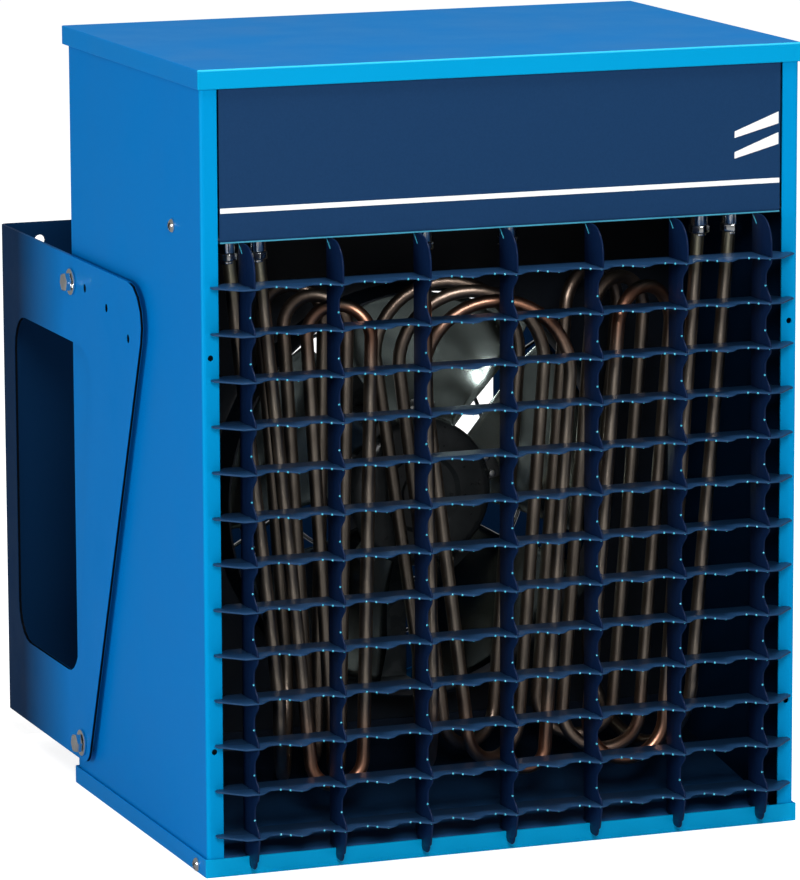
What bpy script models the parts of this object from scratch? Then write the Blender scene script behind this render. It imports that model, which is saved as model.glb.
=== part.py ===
"""Portable fan heater with a tilting wall bracket, an egg-crate outlet grille and three tubular elements.

Metres, +Z up, front towards -Y, right side towards +X. The origin is the middle of the footprint on the floor.
"""

import math

import bmesh
import bpy
from mathutils import Matrix, Vector

# Casing
CASE_WIDTH = 0.456
CASE_DEPTH = 0.306
CASE_HEIGHT = 0.577
SHEET = 0.0015
FIT = 0.0003
FRONT_FLANGE = 0.0125
REAR_FLANGE = 0.020
BEND_RADIUS = 0.002
LID_LIP = 0.014
LID_SIDE = 0.0018
LID_FRONT = 0.0018
LID_REAR = 0.009
TRAY_LIP = 0.0135
COMPARTMENT_HEIGHT = 0.1228
COVER_GAP = 0.0014
COVER_INSET = 0.0008
COVER_RETURN = 0.014
FLOOR_FLANGE = 0.014
FLANGE_HOLE_RADIUS = 0.0022
FLANGE_HOLE_HEIGHTS = (0.0912, 0.374)

# Outlet grille
STRIP_SHEET = 0.0012
STRIP_PROUD = 0.024
STRIP_BEHIND = 0.010
WAVE_DEPTH = 0.0095
WAVE_CREST = 0.005
WAVE_FLAT = 0.009
ROWS = 13
COLUMNS = 7
TOP_ROW_DROP = 0.030
BOTTOM_ROW = 0.0306
COLUMN_MARGIN = 0.0187
TONGUE_LAP = 0.0072
TONGUE_HEIGHT = 0.0085
FOOT_LAP = 0.0075
FOOT_DEPTH = 0.0150
STRIP_TOP_RADIUS = 0.020

# Tubular heating elements: (top, bottom) of each upright run, from the element's own middle
SIDE_ELEMENT_INSET = 0.098
TUBE_RADIUS = 0.0043
TURNS = 3
FIRST_DEPTH = 0.030
COIL_TO_RING = 0.008
ELEMENT_BOTTOM = 0.051
STUB_LENGTH = 0.022
TUBE_HOLE_GAP = 0.0005
BEND_STEPS = 8
ELEMENTS = {
    "left": {"side": -1, "first_lead": (-0.0466, -0.0090), "first_run": (0.0391, 0.0315), "second_run": (-0.0007, 0.0172),
             "last_lead": (-0.0691, -0.0324), "last_lead_depth": 0.030, "last_bottom": 0.048, "drop": 0.0552},
    "center": {"side": 0, "first_lead": (0.0135, 0.0135), "first_run": (0.0624, 0.0426), "second_run": (-0.0418, -0.0085),
               "last_lead": (-0.0510, -0.0450), "last_lead_depth": 0.030, "last_bottom": 0.048, "drop": 0.0592},
    "right": {"side": 1, "first_lead": (0.0332, 0.0071), "first_run": (-0.0304, -0.0532), "second_run": (0.0215, -0.0017),
              "last_lead": (0.0581, 0.0296), "last_lead_depth": 0.030, "last_bottom": 0.048, "drop": 0.0552},
}
GUIDE_FRONT = 0.011
GUIDE_FRONT_HEIGHT = 0.011
GUIDE_TO_RING = 0.0245
GUIDE_FLANGE = 0.015

# Fan
FAN_ABOVE_MIDDLE = 0.0045
FAN_TO_FLOOR = 0.0695
RING_LENGTH = 0.0375
FAN_PLATE_TO_REAR = 0.1055
RING_LIP = 0.014
BLADES = 5
BLADE_TIP_GAP = 0.005
BLADE_SPAN = math.radians(68)
BLADE_ROOT_SHARE = 0.74
BLADE_PITCH = math.radians(-22)
BLADE_SHEET = 0.0018
BLADE_START = math.radians(86)
BLADE_CAMBER = 0.004
BLADE_UNTWIST = 0.35
BLADE_FLATTEN = 1.6
HUB_RADIUS = 0.056
HUB_LENGTH = 0.030
HUB_BEFORE_PLATE = 0.0195
SHAFT_RADIUS = 0.006
MOTOR_RADIUS = 0.052
MOTOR_BEHIND_PLATE = 0.0115
MOTOR_LENGTH = 0.070
STRAP_WIDTH = 0.060
STRAP_FOOT = 0.022
STRAP_BEYOND_RING = 0.012
INLET_BEYOND_RING = 0.016
GUARD_WIRE = 0.0016
GUARD_RINGS = 5
GUARD_WIRES = 6
GUARD_DISC_RADIUS = 0.018
GUARD_LAP = 0.006

# Wall bracket
BRACKET_SHEET = 0.0025
BRACKET_GAP = 0.004
BRACKET_BEHIND = 0.1635
BRACKET_BOTTOM = 0.025
BRACKET_BELOW_LID = 0.169
ARM_TOP_REACH = 0.201
ARM_BOTTOM_REACH = 0.045
ARM_TOP_RADIUS = 0.030
ARM_BOTTOM_RADIUS = 0.016
WINDOW_INSET_LOW = 0.0635
WINDOW_INSET_HIGH = 0.0645
WINDOW_RADIUS = 0.028
WINDOW_REAR = 0.129
WINDOW_TOP_REACH = 0.072
WINDOW_BOTTOM_REACH = 0.022
BACK_WINDOW_EDGE = 0.056
BACK_WINDOW_RISE = 0.112
WALL_HOLE_RADIUS = 0.0045
WALL_HOLE_EDGE = 0.029
WALL_HOLE_INSET = 0.0145
PIVOT_REACH = 0.0327
PIVOT_HEIGHT = 0.0390
INDEX_INSET = 0.019
INDEX_START = math.radians(1.7)
INDEX_STEPS = (0.0, math.radians(5.2), math.radians(13.8), math.radians(22.5))
INDEX_HOLE_RADIUS = 0.0033
BOLT_RADIUS = 0.004
BOLT_HEAD_FLATS = 0.013
BOLT_HEAD_HEIGHT = 0.0053
WASHER_RADIUS = 0.010
WASHER_SHEET = 0.0016
SPACER_RADIUS = 0.009
PIVOT_BOLT_INSIDE = 0.012

# Controls on the right-hand side and what they work
CONTROL_BELOW_LID = 0.060
SELECTOR_DEPTH = 0.085
THERMOSTAT_DEPTH = 0.160
RESET_DEPTH = 0.220
KNOB_RADIUS = 0.021
KNOB_LENGTH = 0.018
KNOB_STEM_RADIUS = 0.003
STEM_DEPTH = 0.008
SWITCH_SIZE = (0.046, 0.046, 0.046)
THERMOSTAT_SIZE = (0.040, 0.050, 0.040)
CUTOUT_RADIUS = 0.013
CUTOUT_LENGTH = 0.024
BUTTON_RADIUS = 0.005
BUTTON_PROUD = 0.006
BUTTON_TRAVEL = 0.003
GLAND_EDGE = 0.078
GLAND_RADIUS = 0.011
GLAND_BORE = 0.006
GLAND_FLANGE = 0.015
GLAND_LENGTH = 0.026
GLAND_SHOULDER = 0.012
GLAND_FLANGE_HEIGHT = 0.010
GLAND_INSIDE = 0.008
GLAND_WALL = 0.003
TERMINAL_SIZE = (0.110, 0.030, 0.028)
TERMINAL_PLACE = (0.060, 0.110)
CONTACTOR_SIZE = (0.045, 0.075, 0.080)
CONTACTOR_PLACE = (-0.120, 0.045)

# What follows from the sizes above
HALF = CASE_WIDTH / 2
FRONT = -CASE_DEPTH / 2
REAR = CASE_DEPTH / 2
INNER = HALF - SHEET
OPENING = HALF - FRONT_FLANGE
COLUMN_PITCH = 2 * (OPENING - COLUMN_MARGIN) / (COLUMNS - 1)
TRAY_FLOOR = SHEET
COVER_BOTTOM = CASE_HEIGHT - COMPARTMENT_HEIGHT
CONTROL_HEIGHT = CASE_HEIGHT - CONTROL_BELOW_LID
WALL_BOTTOM = TRAY_FLOOR + FIT
WALL_TOP = CASE_HEIGHT - SHEET - FIT
FLOOR_BOTTOM = COVER_BOTTOM + SHEET + FIT
FLOOR_TOP = FLOOR_BOTTOM + SHEET
TOP_ROW = COVER_BOTTOM - TOP_ROW_DROP
ROW_PITCH = (TOP_ROW - BOTTOM_ROW) / (ROWS - 1)
BACK_PANEL_REAR = REAR - SHEET - FIT
ARM_INSIDE = HALF + BRACKET_GAP
ARM_OUTSIDE = ARM_INSIDE + BRACKET_SHEET
BRACKET_REAR = REAR + BRACKET_BEHIND
BRACKET_TOP = CASE_HEIGHT - BRACKET_BELOW_LID
WINDOW_BOTTOM = BRACKET_BOTTOM + WINDOW_INSET_LOW
WINDOW_TOP = BRACKET_TOP - WINDOW_INSET_HIGH
BACK_WINDOW_HALF = ARM_INSIDE - BACK_WINDOW_EDGE
WALL_HOLE_SIDE = ARM_INSIDE - WALL_HOLE_EDGE
PIVOT_Y = REAR - PIVOT_REACH
INDEX_RADIUS = BRACKET_TOP - INDEX_INSET - PIVOT_HEIGHT
GLAND_SIDE = HALF - GLAND_EDGE
FAN_HEIGHT = FLOOR_BOTTOM / 2 + FAN_ABOVE_MIDDLE
RING_RADIUS = FLOOR_BOTTOM - FAN_HEIGHT - FAN_TO_FLOOR
FAN_PLATE_DEPTH = CASE_DEPTH - FAN_PLATE_TO_REAR
RING_FRONT = FAN_PLATE_DEPTH - RING_LENGTH
HUB_MIDDLE_DEPTH = FAN_PLATE_DEPTH - HUB_BEFORE_PLATE
MOTOR_FRONT = FAN_PLATE_DEPTH + MOTOR_BEHIND_PLATE
STRAP_REACH = RING_RADIUS + STRAP_BEYOND_RING
INLET_RADIUS = RING_RADIUS + INLET_BEYOND_RING
GUIDE_REAR_HEIGHT = FAN_HEIGHT - RING_RADIUS - RING_LIP - GUIDE_TO_RING
TURN_PITCH = (RING_FRONT - COIL_TO_RING - FIRST_DEPTH) / (TURNS - 0.5)

# Directions that turn a flat outline's x, y and thickness into the object's frame
FLAT = Matrix.Identity(3)
FACING_FRONT = Matrix(((1, 0, 0), (0, 0, -1), (0, 1, 0)))
FACING_SIDE = Matrix(((0, 0, 1), (1, 0, 0), (0, 1, 0)))


def clear_scene():
    for obj in list(bpy.data.objects):
        bpy.data.objects.remove(obj, do_unlink=True)


def new_collection(name):
    collection = bpy.data.collections.new(name)
    bpy.context.scene.collection.children.link(collection)
    return collection


def new_material(name, colour, roughness, metallic=0.0):
    material = bpy.data.materials.new(name)
    material.use_nodes = True
    shader = material.node_tree.nodes["Principled BSDF"]
    shader.inputs["Base Color"].default_value = (*colour, 1.0)
    shader.inputs["Roughness"].default_value = roughness
    shader.inputs["Metallic"].default_value = metallic
    return material


clear_scene()
PARTS = new_collection("fan_heater")
CUTTERS = new_collection("cutters")
BLUE = new_material("blue_enamel", (0.0, 0.163, 0.479), 0.35)
NAVY = new_material("navy_enamel", (0.013, 0.048, 0.141), 0.4)
ZINC = new_material("zinc_steel", (0.55, 0.56, 0.58), 0.35, 1.0)
ALUMINIUM = new_material("aluminium", (0.72, 0.73, 0.74), 0.3, 1.0)
SHEATH = new_material("element_sheath", (0.16, 0.11, 0.075), 0.45, 0.9)
BLACK = new_material("black_plastic", (0.012, 0.012, 0.013), 0.5)
CREAM = new_material("cream_plastic", (0.62, 0.58, 0.48), 0.5)
RED = new_material("red_plastic", (0.5, 0.015, 0.012), 0.4)


def add_object(name, data, material, collection=None):
    """Puts a mesh or curve in the scene as a named object."""
    obj = bpy.data.objects.new(name, data)
    (collection or PARTS).objects.link(obj)
    if material:
        data.materials.append(material)
    return obj


def mesh_from(bm, name):
    bm.normal_update()
    bmesh.ops.recalc_face_normals(bm, faces=bm.faces)
    mesh = bpy.data.meshes.new(name)
    bm.to_mesh(mesh)
    bm.free()
    return mesh


def smooth(mesh, angle=40):
    mesh.shade_smooth()
    mesh.set_sharp_from_angle(angle=math.radians(angle))


def rounded(points, radii, steps=4):
    """A closed outline with each corner turned into an arc of its own radius (0 keeps the corner sharp)."""
    if not isinstance(radii, (list, tuple)):
        radii = [radii] * len(points)
    outline = []
    for index, radius in enumerate(radii):
        corner = Vector(points[index])
        if radius <= 0:
            outline.append(corner)
            continue
        before = (Vector(points[index - 1]) - corner).normalized()
        after = (Vector(points[(index + 1) % len(points)]) - corner).normalized()
        half_angle = before.angle(after) / 2
        centre = corner + (before + after).normalized() * radius / math.sin(half_angle)
        start = corner + before * radius / math.tan(half_angle) - centre
        end = corner + after * radius / math.tan(half_angle) - centre
        turn = start.angle_signed(end)
        for step in range(steps + 1):
            arm = start.copy()
            arm.rotate(Matrix.Rotation(-turn * step / steps, 2))
            outline.append(centre + arm)
    return outline


def circle(x, y, radius, sides=16):
    return [Vector((x + radius * math.cos(math.tau * i / sides), y + radius * math.sin(math.tau * i / sides)))
            for i in range(sides)]


def plate(name, outlines, thickness, facing, place, material, collection=None):
    """A flat sheet: the first outline is its edge and the others are holes through it."""
    curve = bpy.data.curves.new(name, "CURVE")
    curve.dimensions = "2D"
    curve.fill_mode = "BOTH"
    curve.extrude = thickness / 2
    for outline in outlines:
        spline = curve.splines.new("POLY")
        spline.points.add(len(outline) - 1)
        for point, (x, y) in zip(spline.points, outline):
            point.co = (x, y, 0, 1)
        spline.use_cyclic_u = True
    obj = add_object(name, curve, material, collection)
    obj.matrix_world = Matrix.Translation(place) @ facing.to_4x4()
    return obj


def as_mesh(obj):
    """The same object with its curve made a welded mesh, so that a Boolean can take it."""
    bpy.context.view_layer.update()
    graph = bpy.context.evaluated_depsgraph_get()
    mesh = bpy.data.meshes.new_from_object(obj.evaluated_get(graph))
    bm = bmesh.new()
    bm.from_mesh(mesh)
    bmesh.ops.remove_doubles(bm, verts=bm.verts, dist=1e-5)
    bm.to_mesh(mesh)
    bm.free()
    name, place, collection = obj.name, obj.matrix_world.copy(), obj.users_collection[0]
    bpy.data.objects.remove(obj, do_unlink=True)
    made = bpy.data.objects.new(name, mesh)
    collection.objects.link(made)
    made.matrix_world = place
    return made


def hide(obj):
    obj.hide_render = True
    obj.display_type = "WIRE"
    return obj


def cut(obj, cutter, operation="DIFFERENCE"):
    modifier = obj.modifiers.new(cutter.name, "BOOLEAN")
    modifier.operation = operation
    modifier.object = cutter


def folded_sheet(name, path, low, high, thickness, facing, material, radius=BEND_RADIUS):
    """A sheet bent along an open path, which is its middle surface, and as wide as low to high across it."""
    sharp_ends = [0] + [radius] * (len(path) - 2) + [0]
    bm = bmesh.new()
    verts = [bm.verts.new((x, y, low)) for x, y in rounded(path, sharp_ends, 3)]
    edges = [bm.edges.new(pair) for pair in zip(verts, verts[1:])]
    extruded = bmesh.ops.extrude_edge_only(bm, edges=edges)["geom"]
    bmesh.ops.translate(bm, verts=[v for v in extruded if isinstance(v, bmesh.types.BMVert)],
                        vec=(0, 0, high - low))
    obj = add_object(name, mesh_from(bm, name), material)
    obj.matrix_world = facing.to_4x4()
    solidify = obj.modifiers.new("sheet", "SOLIDIFY")
    solidify.thickness = thickness
    solidify.offset = 0
    solidify.use_even_offset = True
    return obj


def pan(name, low, high, thickness, open_side, material):
    """A shallow box of sheet with its top (1) or bottom (-1) left open; low and high are its outside corners."""
    bm = bmesh.new()
    middle = [(a + b) / 2 for a, b in zip(low, high)]
    size = [b - a for a, b in zip(low, high)]
    bmesh.ops.create_cube(bm, size=1, matrix=Matrix.Translation(middle) @ Matrix.Diagonal((*size, 1)))
    bmesh.ops.delete(bm, geom=[f for f in bm.faces if f.normal.z * open_side > 0.5], context="FACES")
    obj = add_object(name, mesh_from(bm, name), material)
    solidify = obj.modifiers.new("sheet", "SOLIDIFY")
    solidify.thickness = thickness
    solidify.offset = -1
    solidify.use_even_offset = True
    return obj


def turned(name, profile, place, direction, material, sides=24):
    """A turned solid: profile is (radius, height) from the top down, about the given direction."""
    bm = bmesh.new()
    verts = [bm.verts.new((radius, 0, height)) for radius, height in profile]
    for pair in zip(verts, verts[1:]):
        bm.edges.new(pair)
    if profile[0][0] > 0 and profile[-1][0] > 0:
        bm.edges.new((verts[-1], verts[0]))
    mesh = bpy.data.meshes.new(name)
    bm.to_mesh(mesh)
    bm.free()
    obj = add_object(name, mesh, material)
    screw = obj.modifiers.new("turn", "SCREW")
    screw.steps = screw.render_steps = sides
    screw.use_merge_vertices = True
    screw.merge_threshold = 0.00001
    screw.use_smooth_shade = False
    obj.matrix_world = Matrix.Translation(place) @ Vector((0, 0, 1)).rotation_difference(
        Vector(direction)).to_matrix().to_4x4()
    return obj


def rod_cutter(name, place, direction, radius, length, sides=24):
    """A round cutter through a place, along a direction."""
    bm = bmesh.new()
    bmesh.ops.create_cone(bm, cap_ends=True, segments=sides, radius1=radius, radius2=radius, depth=length)
    turn = Vector((0, 0, 1)).rotation_difference(Vector(direction)).to_matrix().to_4x4()
    bm.transform(Matrix.Translation(place) @ turn)
    return hide(add_object(name, mesh_from(bm, name), None, CUTTERS))


def prism_cutter(name, outlines, low, high, facing):
    """Cutters with flat outlines that run from low to high along the facing's thickness."""
    bm = bmesh.new()
    for outline in outlines:
        face = bm.faces.new([bm.verts.new((x, y, low)) for x, y in outline])
        top = bmesh.ops.extrude_face_region(bm, geom=[face])["geom"]
        bmesh.ops.translate(bm, verts=[v for v in top if isinstance(v, bmesh.types.BMVert)],
                            vec=(0, 0, high - low))
    obj = hide(add_object(name, mesh_from(bm, name), None, CUTTERS))
    obj.matrix_world = facing.to_4x4()
    return obj


def box_object(name, size, place, material, bevel=0.0015):
    """A block with rounded edges, place being its middle."""
    bm = bmesh.new()
    bmesh.ops.create_cube(bm, size=1, matrix=Matrix.Diagonal((*size, 1)))
    obj = add_object(name, mesh_from(bm, name), material)
    obj.location = place
    edge = obj.modifiers.new("edge", "BEVEL")
    edge.width = bevel
    edge.segments = 1
    return obj


def wave(length_from, length_to, pitch):
    """The front edge's scallops between two places: (distance along, how far it is drawn back)."""
    points = []
    index = math.ceil(length_from / pitch - 0.5)
    while (index + 0.5) * pitch < length_to - pitch / 4:
        middle = (index + 0.5) * pitch
        slope = (pitch - WAVE_CREST - WAVE_FLAT) / 2
        low, high = WAVE_FLAT / 2, WAVE_FLAT / 2 + slope
        if middle - high > length_from and middle + high < length_to:
            points += [(middle - high, 0), (middle - low, WAVE_DEPTH),
                       (middle + low, WAVE_DEPTH), (middle + high, 0)]
        index += 1
    return points


def half_lap(places, edge, depth):
    """The notches of a half-lap joint along one edge, in the order of the places."""
    half = STRIP_SHEET / 2 + FIT
    notches = []
    for place in places:
        notches += [(place - half, edge), (place - half, edge + depth),
                    (place + half, edge + depth), (place + half, edge)]
    return notches


def row_heights():
    return [TOP_ROW - row * ROW_PITCH for row in range(ROWS)]


def column_places():
    return [(column - (COLUMNS - 1) / 2) * COLUMN_PITCH for column in range(COLUMNS)]


def horizontal_outline():
    """One horizontal strip seen from above: scalloped front, tongues over the flanges, notches behind."""
    front = FRONT - STRIP_PROUD
    back = FRONT + STRIP_BEHIND
    tip = OPENING + TONGUE_LAP
    seat = FRONT - FIT
    inside = OPENING - FIT
    tongue_front = seat - TONGUE_HEIGHT
    shoulder = OPENING - 0.0095
    front_edge = [(x, front + drawn) for x, drawn in wave(-shoulder, shoulder, COLUMN_PITCH / 2)]
    left = [(-inside, back - 0.006), (-inside, seat), (-tip + 0.003, seat), (-tip, seat - 0.002),
            (-tip, tongue_front + 0.003), (-tip + 0.004, tongue_front - 0.0015), (-shoulder, front)]
    right = [(-x, y) for x, y in reversed(left)]
    rear_edge = half_lap(column_places(), back, -(STRIP_PROUD + STRIP_BEHIND) / 2)
    return left + front_edge + right + [(inside - 0.006, back)] + rear_edge[::-1] + [(-inside + 0.006, back)]


def vertical_outline():
    """One vertical strip seen from the side, as (y, z): scalloped front notched half-way, foot over the tray's lip."""
    front = FRONT - STRIP_PROUD
    back = FRONT + STRIP_BEHIND
    top = COVER_BOTTOM - FIT
    lip_front = FRONT - FIT - SHEET - FIT
    foot = TRAY_LIP - FOOT_LAP
    seat = TRAY_LIP + FIT
    radius = STRIP_TOP_RADIUS
    drawn_middle = (front + back) / 2
    half = STRIP_SHEET / 2 + FIT
    edge = []
    for height in row_heights():
        edge += [(front, height + half), (drawn_middle, height + half),
                 (drawn_middle, height - half), (front, height - half)]
        below = height - ROW_PITCH / 2
        low = WAVE_FLAT / 2
        high = (ROW_PITCH - WAVE_CREST) / 2
        if below - high > seat:
            edge += [(front, below + high), (front + WAVE_DEPTH, below + low),
                     (front + WAVE_DEPTH, below - low), (front, below - high)]
    arc = [(front + radius * (1 - math.cos(angle)), top - radius * (1 - math.sin(angle)))
           for angle in (math.radians(a) for a in (90, 60, 30, 0))]
    foot_end = [(front + 0.004, seat), (lip_front - FOOT_DEPTH, seat - 0.002),
                (lip_front - FOOT_DEPTH, foot + 0.0045), (lip_front - FOOT_DEPTH + 0.004, foot),
                (lip_front - 0.003, foot), (lip_front, foot + 0.003), (lip_front, seat)]
    return arc + edge + foot_end + [(back, seat), (back, top)]


def make_grille():
    outline = horizontal_outline()
    for row, height in enumerate(row_heights(), 1):
        plate(f"louvre_h_{row:02d}", [outline], STRIP_SHEET, FLAT, (0, 0, height), NAVY)
    outline = vertical_outline()
    for column, place in enumerate(column_places(), 1):
        plate(f"louvre_v_{column:02d}", [outline], STRIP_SHEET, FACING_SIDE, (place, 0, 0), NAVY)


def make_casing():
    make_side_panel("left_side_panel", -1)
    make_side_panel("right_side_panel", 1)
    make_lid_and_tray()
    make_back_panel()
    make_control_cover()
    make_compartment_floor()


def make_side_panel(name, side):
    """A side with its front and rear flanges, and the holes of its bolts and, on the right, its controls."""
    middle = HALF - SHEET / 2
    path = [(side * (OPENING), FRONT + SHEET / 2), (side * middle, FRONT + SHEET / 2),
            (side * middle, REAR - SHEET / 2), (side * (HALF - REAR_FLANGE), REAR - SHEET / 2)]
    panel = folded_sheet(name, path, WALL_BOTTOM, WALL_TOP, SHEET, FLAT, BLUE)
    through = 4 * SHEET
    flange_middle = side * (HALF - FRONT_FLANGE / 2)
    for number, height in enumerate(FLANGE_HOLE_HEIGHTS, 1):
        place = (flange_middle, FRONT + SHEET / 2, height)
        cut(panel, rod_cutter(f"{name}_flange_hole_{number}", place, (0, 1, 0), FLANGE_HOLE_RADIUS, through, 8))
    pivot = (side * middle, PIVOT_Y, PIVOT_HEIGHT)
    cut(panel, rod_cutter(f"{name}_pivot_hole", pivot, (1, 0, 0), BOLT_RADIUS + FIT, through, 16))
    if side > 0:
        for word, depth, radius in (("selector", SELECTOR_DEPTH, KNOB_STEM_RADIUS + FIT),
                                    ("thermostat", THERMOSTAT_DEPTH, KNOB_STEM_RADIUS + FIT),
                                    ("reset", RESET_DEPTH, BUTTON_RADIUS + FIT)):
            place = (middle, FRONT + depth, CONTROL_HEIGHT)
            cut(panel, rod_cutter(f"{word}_hole", place, (1, 0, 0), radius, through, 16))


def make_lid_and_tray():
    pan("lid", (-HALF - LID_SIDE, FRONT - LID_FRONT, CASE_HEIGHT - LID_LIP),
        (HALF + LID_SIDE, REAR + LID_REAR, CASE_HEIGHT), SHEET, -1, BLUE)
    around = FIT + SHEET
    pan("base_tray", (-HALF - around, FRONT - around, 0), (HALF + around, REAR + around, TRAY_LIP),
        SHEET, 1, BLUE)


def make_back_panel():
    edge = INNER - BEND_RADIUS
    outline = [(-edge, WALL_BOTTOM), (edge, WALL_BOTTOM), (edge, WALL_TOP), (-edge, WALL_TOP)]
    holes = [circle(0, FAN_HEIGHT, INLET_RADIUS, 32),
             circle(GLAND_SIDE, CONTROL_HEIGHT, GLAND_RADIUS + FIT)]
    place = (0, BACK_PANEL_REAR - SHEET / 2, 0)
    plate("back_panel", [outline] + holes, SHEET, FACING_FRONT, place, BLUE)


def make_control_cover():
    """The dark front cover over the control compartment, with its lower edge turned in."""
    face = FRONT + COVER_INSET + SHEET / 2
    top = CASE_HEIGHT - SHEET - COVER_GAP
    path = [(face + COVER_RETURN, COVER_BOTTOM + SHEET / 2), (face, COVER_BOTTOM + SHEET / 2), (face, top)]
    half = OPENING - COVER_GAP
    folded_sheet("control_cover", path, -half, half, SHEET, FACING_SIDE, NAVY)


def make_compartment_floor():
    """The floor that the elements hang from, with its sides turned up against the casing."""
    edge = INNER - FIT - SHEET / 2
    level = FLOOR_BOTTOM + SHEET / 2
    path = [(-edge, FLOOR_TOP + FLOOR_FLANGE), (-edge, level), (edge, level), (edge, FLOOR_TOP + FLOOR_FLANGE)]
    front = FRONT + SHEET + COVER_INSET + SHEET + FIT
    back = BACK_PANEL_REAR - SHEET - FIT
    floor = folded_sheet("compartment_floor", path, -back, -front, SHEET, FACING_FRONT, ZINC)
    holes = []
    for element in ELEMENTS.values():
        for x, _, depth in (element_runs(element)[0], element_runs(element)[-1]):
            holes.append(circle(x, FRONT + depth, TUBE_RADIUS + TUBE_HOLE_GAP, 12))
    cut(floor, prism_cutter("element_holes", holes, FLOOR_BOTTOM - SHEET, FLOOR_TOP + SHEET, FLAT))


def element_runs(element):
    """The upright runs in order: (top x, bottom x, depth). The leads come first and last."""
    middle = element["side"] * (HALF - SIDE_ELEMENT_INSET)
    runs = [(*element["first_lead"], FIRST_DEPTH)]
    for turn in range(TURNS):
        depth = FIRST_DEPTH + turn * TURN_PITCH
        runs.append((*element["first_run"], depth))
        runs.append((*element["second_run"], depth + TURN_PITCH / 2))
    runs.append((*element["last_lead"], element["last_lead_depth"]))
    return [(middle + top, middle + bottom, depth) for top, bottom, depth in runs]


def element_path(element):
    """The tube's middle line: runs joined by half-round bends, low bends and high ones in turn."""
    runs = element_runs(element)
    level = FLOOR_TOP + STUB_LENGTH
    points = [Vector((runs[0][0], FRONT + runs[0][2], level)),
              Vector((runs[0][0], FRONT + runs[0][2], FLOOR_BOTTOM - TUBE_RADIUS))]
    for index, (run, following) in enumerate(zip(runs, runs[1:])):
        down = index % 2 == 0
        start = Vector((run[1 if down else 0], FRONT + run[2], 0))
        end = Vector((following[1 if down else 0], FRONT + following[2], 0))
        radius = (end - start).length / 2
        lowest = element["last_bottom"] if index == len(runs) - 2 else ELEMENT_BOTTOM
        base = lowest + radius if down else COVER_BOTTOM - element["drop"] - radius
        for step in range(BEND_STEPS + 1):
            angle = math.pi * step / BEND_STEPS
            place = (start + end) / 2 + (start - end) / 2 * math.cos(angle)
            place.z = base + (-1 if down else 1) * radius * math.sin(angle)
            points.append(place)
    last = runs[-1]
    points += [Vector((last[0], FRONT + last[2], FLOOR_BOTTOM - TUBE_RADIUS)),
               Vector((last[0], FRONT + last[2], level))]
    return points


def tube(name, points, radius, material, resolution=1, cyclic=False):
    curve = bpy.data.curves.new(name, "CURVE")
    curve.dimensions = "3D"
    curve.bevel_depth = radius
    curve.bevel_resolution = resolution
    curve.use_fill_caps = not cyclic
    spline = curve.splines.new("POLY")
    spline.points.add(len(points) - 1)
    for point, place in zip(spline.points, points):
        point.co = (*place, 1)
    spline.use_cyclic_u = cyclic
    return add_object(name, curve, material)


def least_gap(points, radius):
    """The least clear distance of a bent tube to itself, leaving out what is within two bends' reach along it."""
    fine = []
    for start, end in zip(points, points[1:]):
        steps = max(1, round((end - start).length / radius))
        fine += [start.lerp(end, step / steps) for step in range(steps)]
    reach = [0.0]
    for start, end in zip(fine, fine[1:]):
        reach.append(reach[-1] + (end - start).length)
    least = math.inf
    for i, start in enumerate(fine):
        for j in range(i + 1, len(fine)):
            if reach[j] - reach[i] > 6 * radius:
                least = min(least, (fine[j] - start).length)
    return least - 2 * radius


def make_elements():
    for word, element in ELEMENTS.items():
        points = element_path(element)
        tube(f"element_{word}", points, TUBE_RADIUS, SHEATH)
        print(f"element_{word}: least gap to itself {1000 * least_gap(points, TUBE_RADIUS):.1f} mm")


def make_air_guide():
    """The sloping floor under the elements, from behind the tray's lip up to a flange on the fan's partition."""
    rear = FRONT + FAN_PLATE_DEPTH - FIT - SHEET / 2
    path = [(FRONT + GUIDE_FRONT, WALL_BOTTOM + SHEET / 2), (FRONT + GUIDE_FRONT, GUIDE_FRONT_HEIGHT),
            (rear, GUIDE_REAR_HEIGHT), (rear, GUIDE_REAR_HEIGHT + GUIDE_FLANGE)]
    half = INNER - FIT - PIVOT_BOLT_INSIDE - FIT
    folded_sheet("air_guide", path, -half, half, SHEET, FACING_SIDE, BLUE)


def make_fan():
    make_fan_plate()
    make_impeller()
    make_motor()
    make_guard()


def make_fan_plate():
    """The partition with the fan's opening, and the ring on its front."""
    edge = INNER - FIT
    top = FLOOR_BOTTOM - FIT
    outline = [(-edge, WALL_BOTTOM), (edge, WALL_BOTTOM), (edge, top), (-edge, top)]
    opening = circle(0, FAN_HEIGHT, RING_RADIUS + SHEET, 32)
    place = (0, FRONT + FAN_PLATE_DEPTH + SHEET / 2, 0)
    plate("fan_plate", [outline, opening], SHEET, FACING_FRONT, place, BLUE)
    outer = RING_RADIUS + SHEET
    lip = RING_RADIUS + RING_LIP
    length = FAN_PLATE_DEPTH - FIT - RING_FRONT
    profile = [(RING_RADIUS, 0), (outer, 0), (outer, SHEET - length), (lip, SHEET - length), (lip, -length),
               (RING_RADIUS, -length)]
    turned("fan_ring", profile, (0, FRONT + RING_FRONT, FAN_HEIGHT), (0, -1, 0), BLUE, 32)


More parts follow.
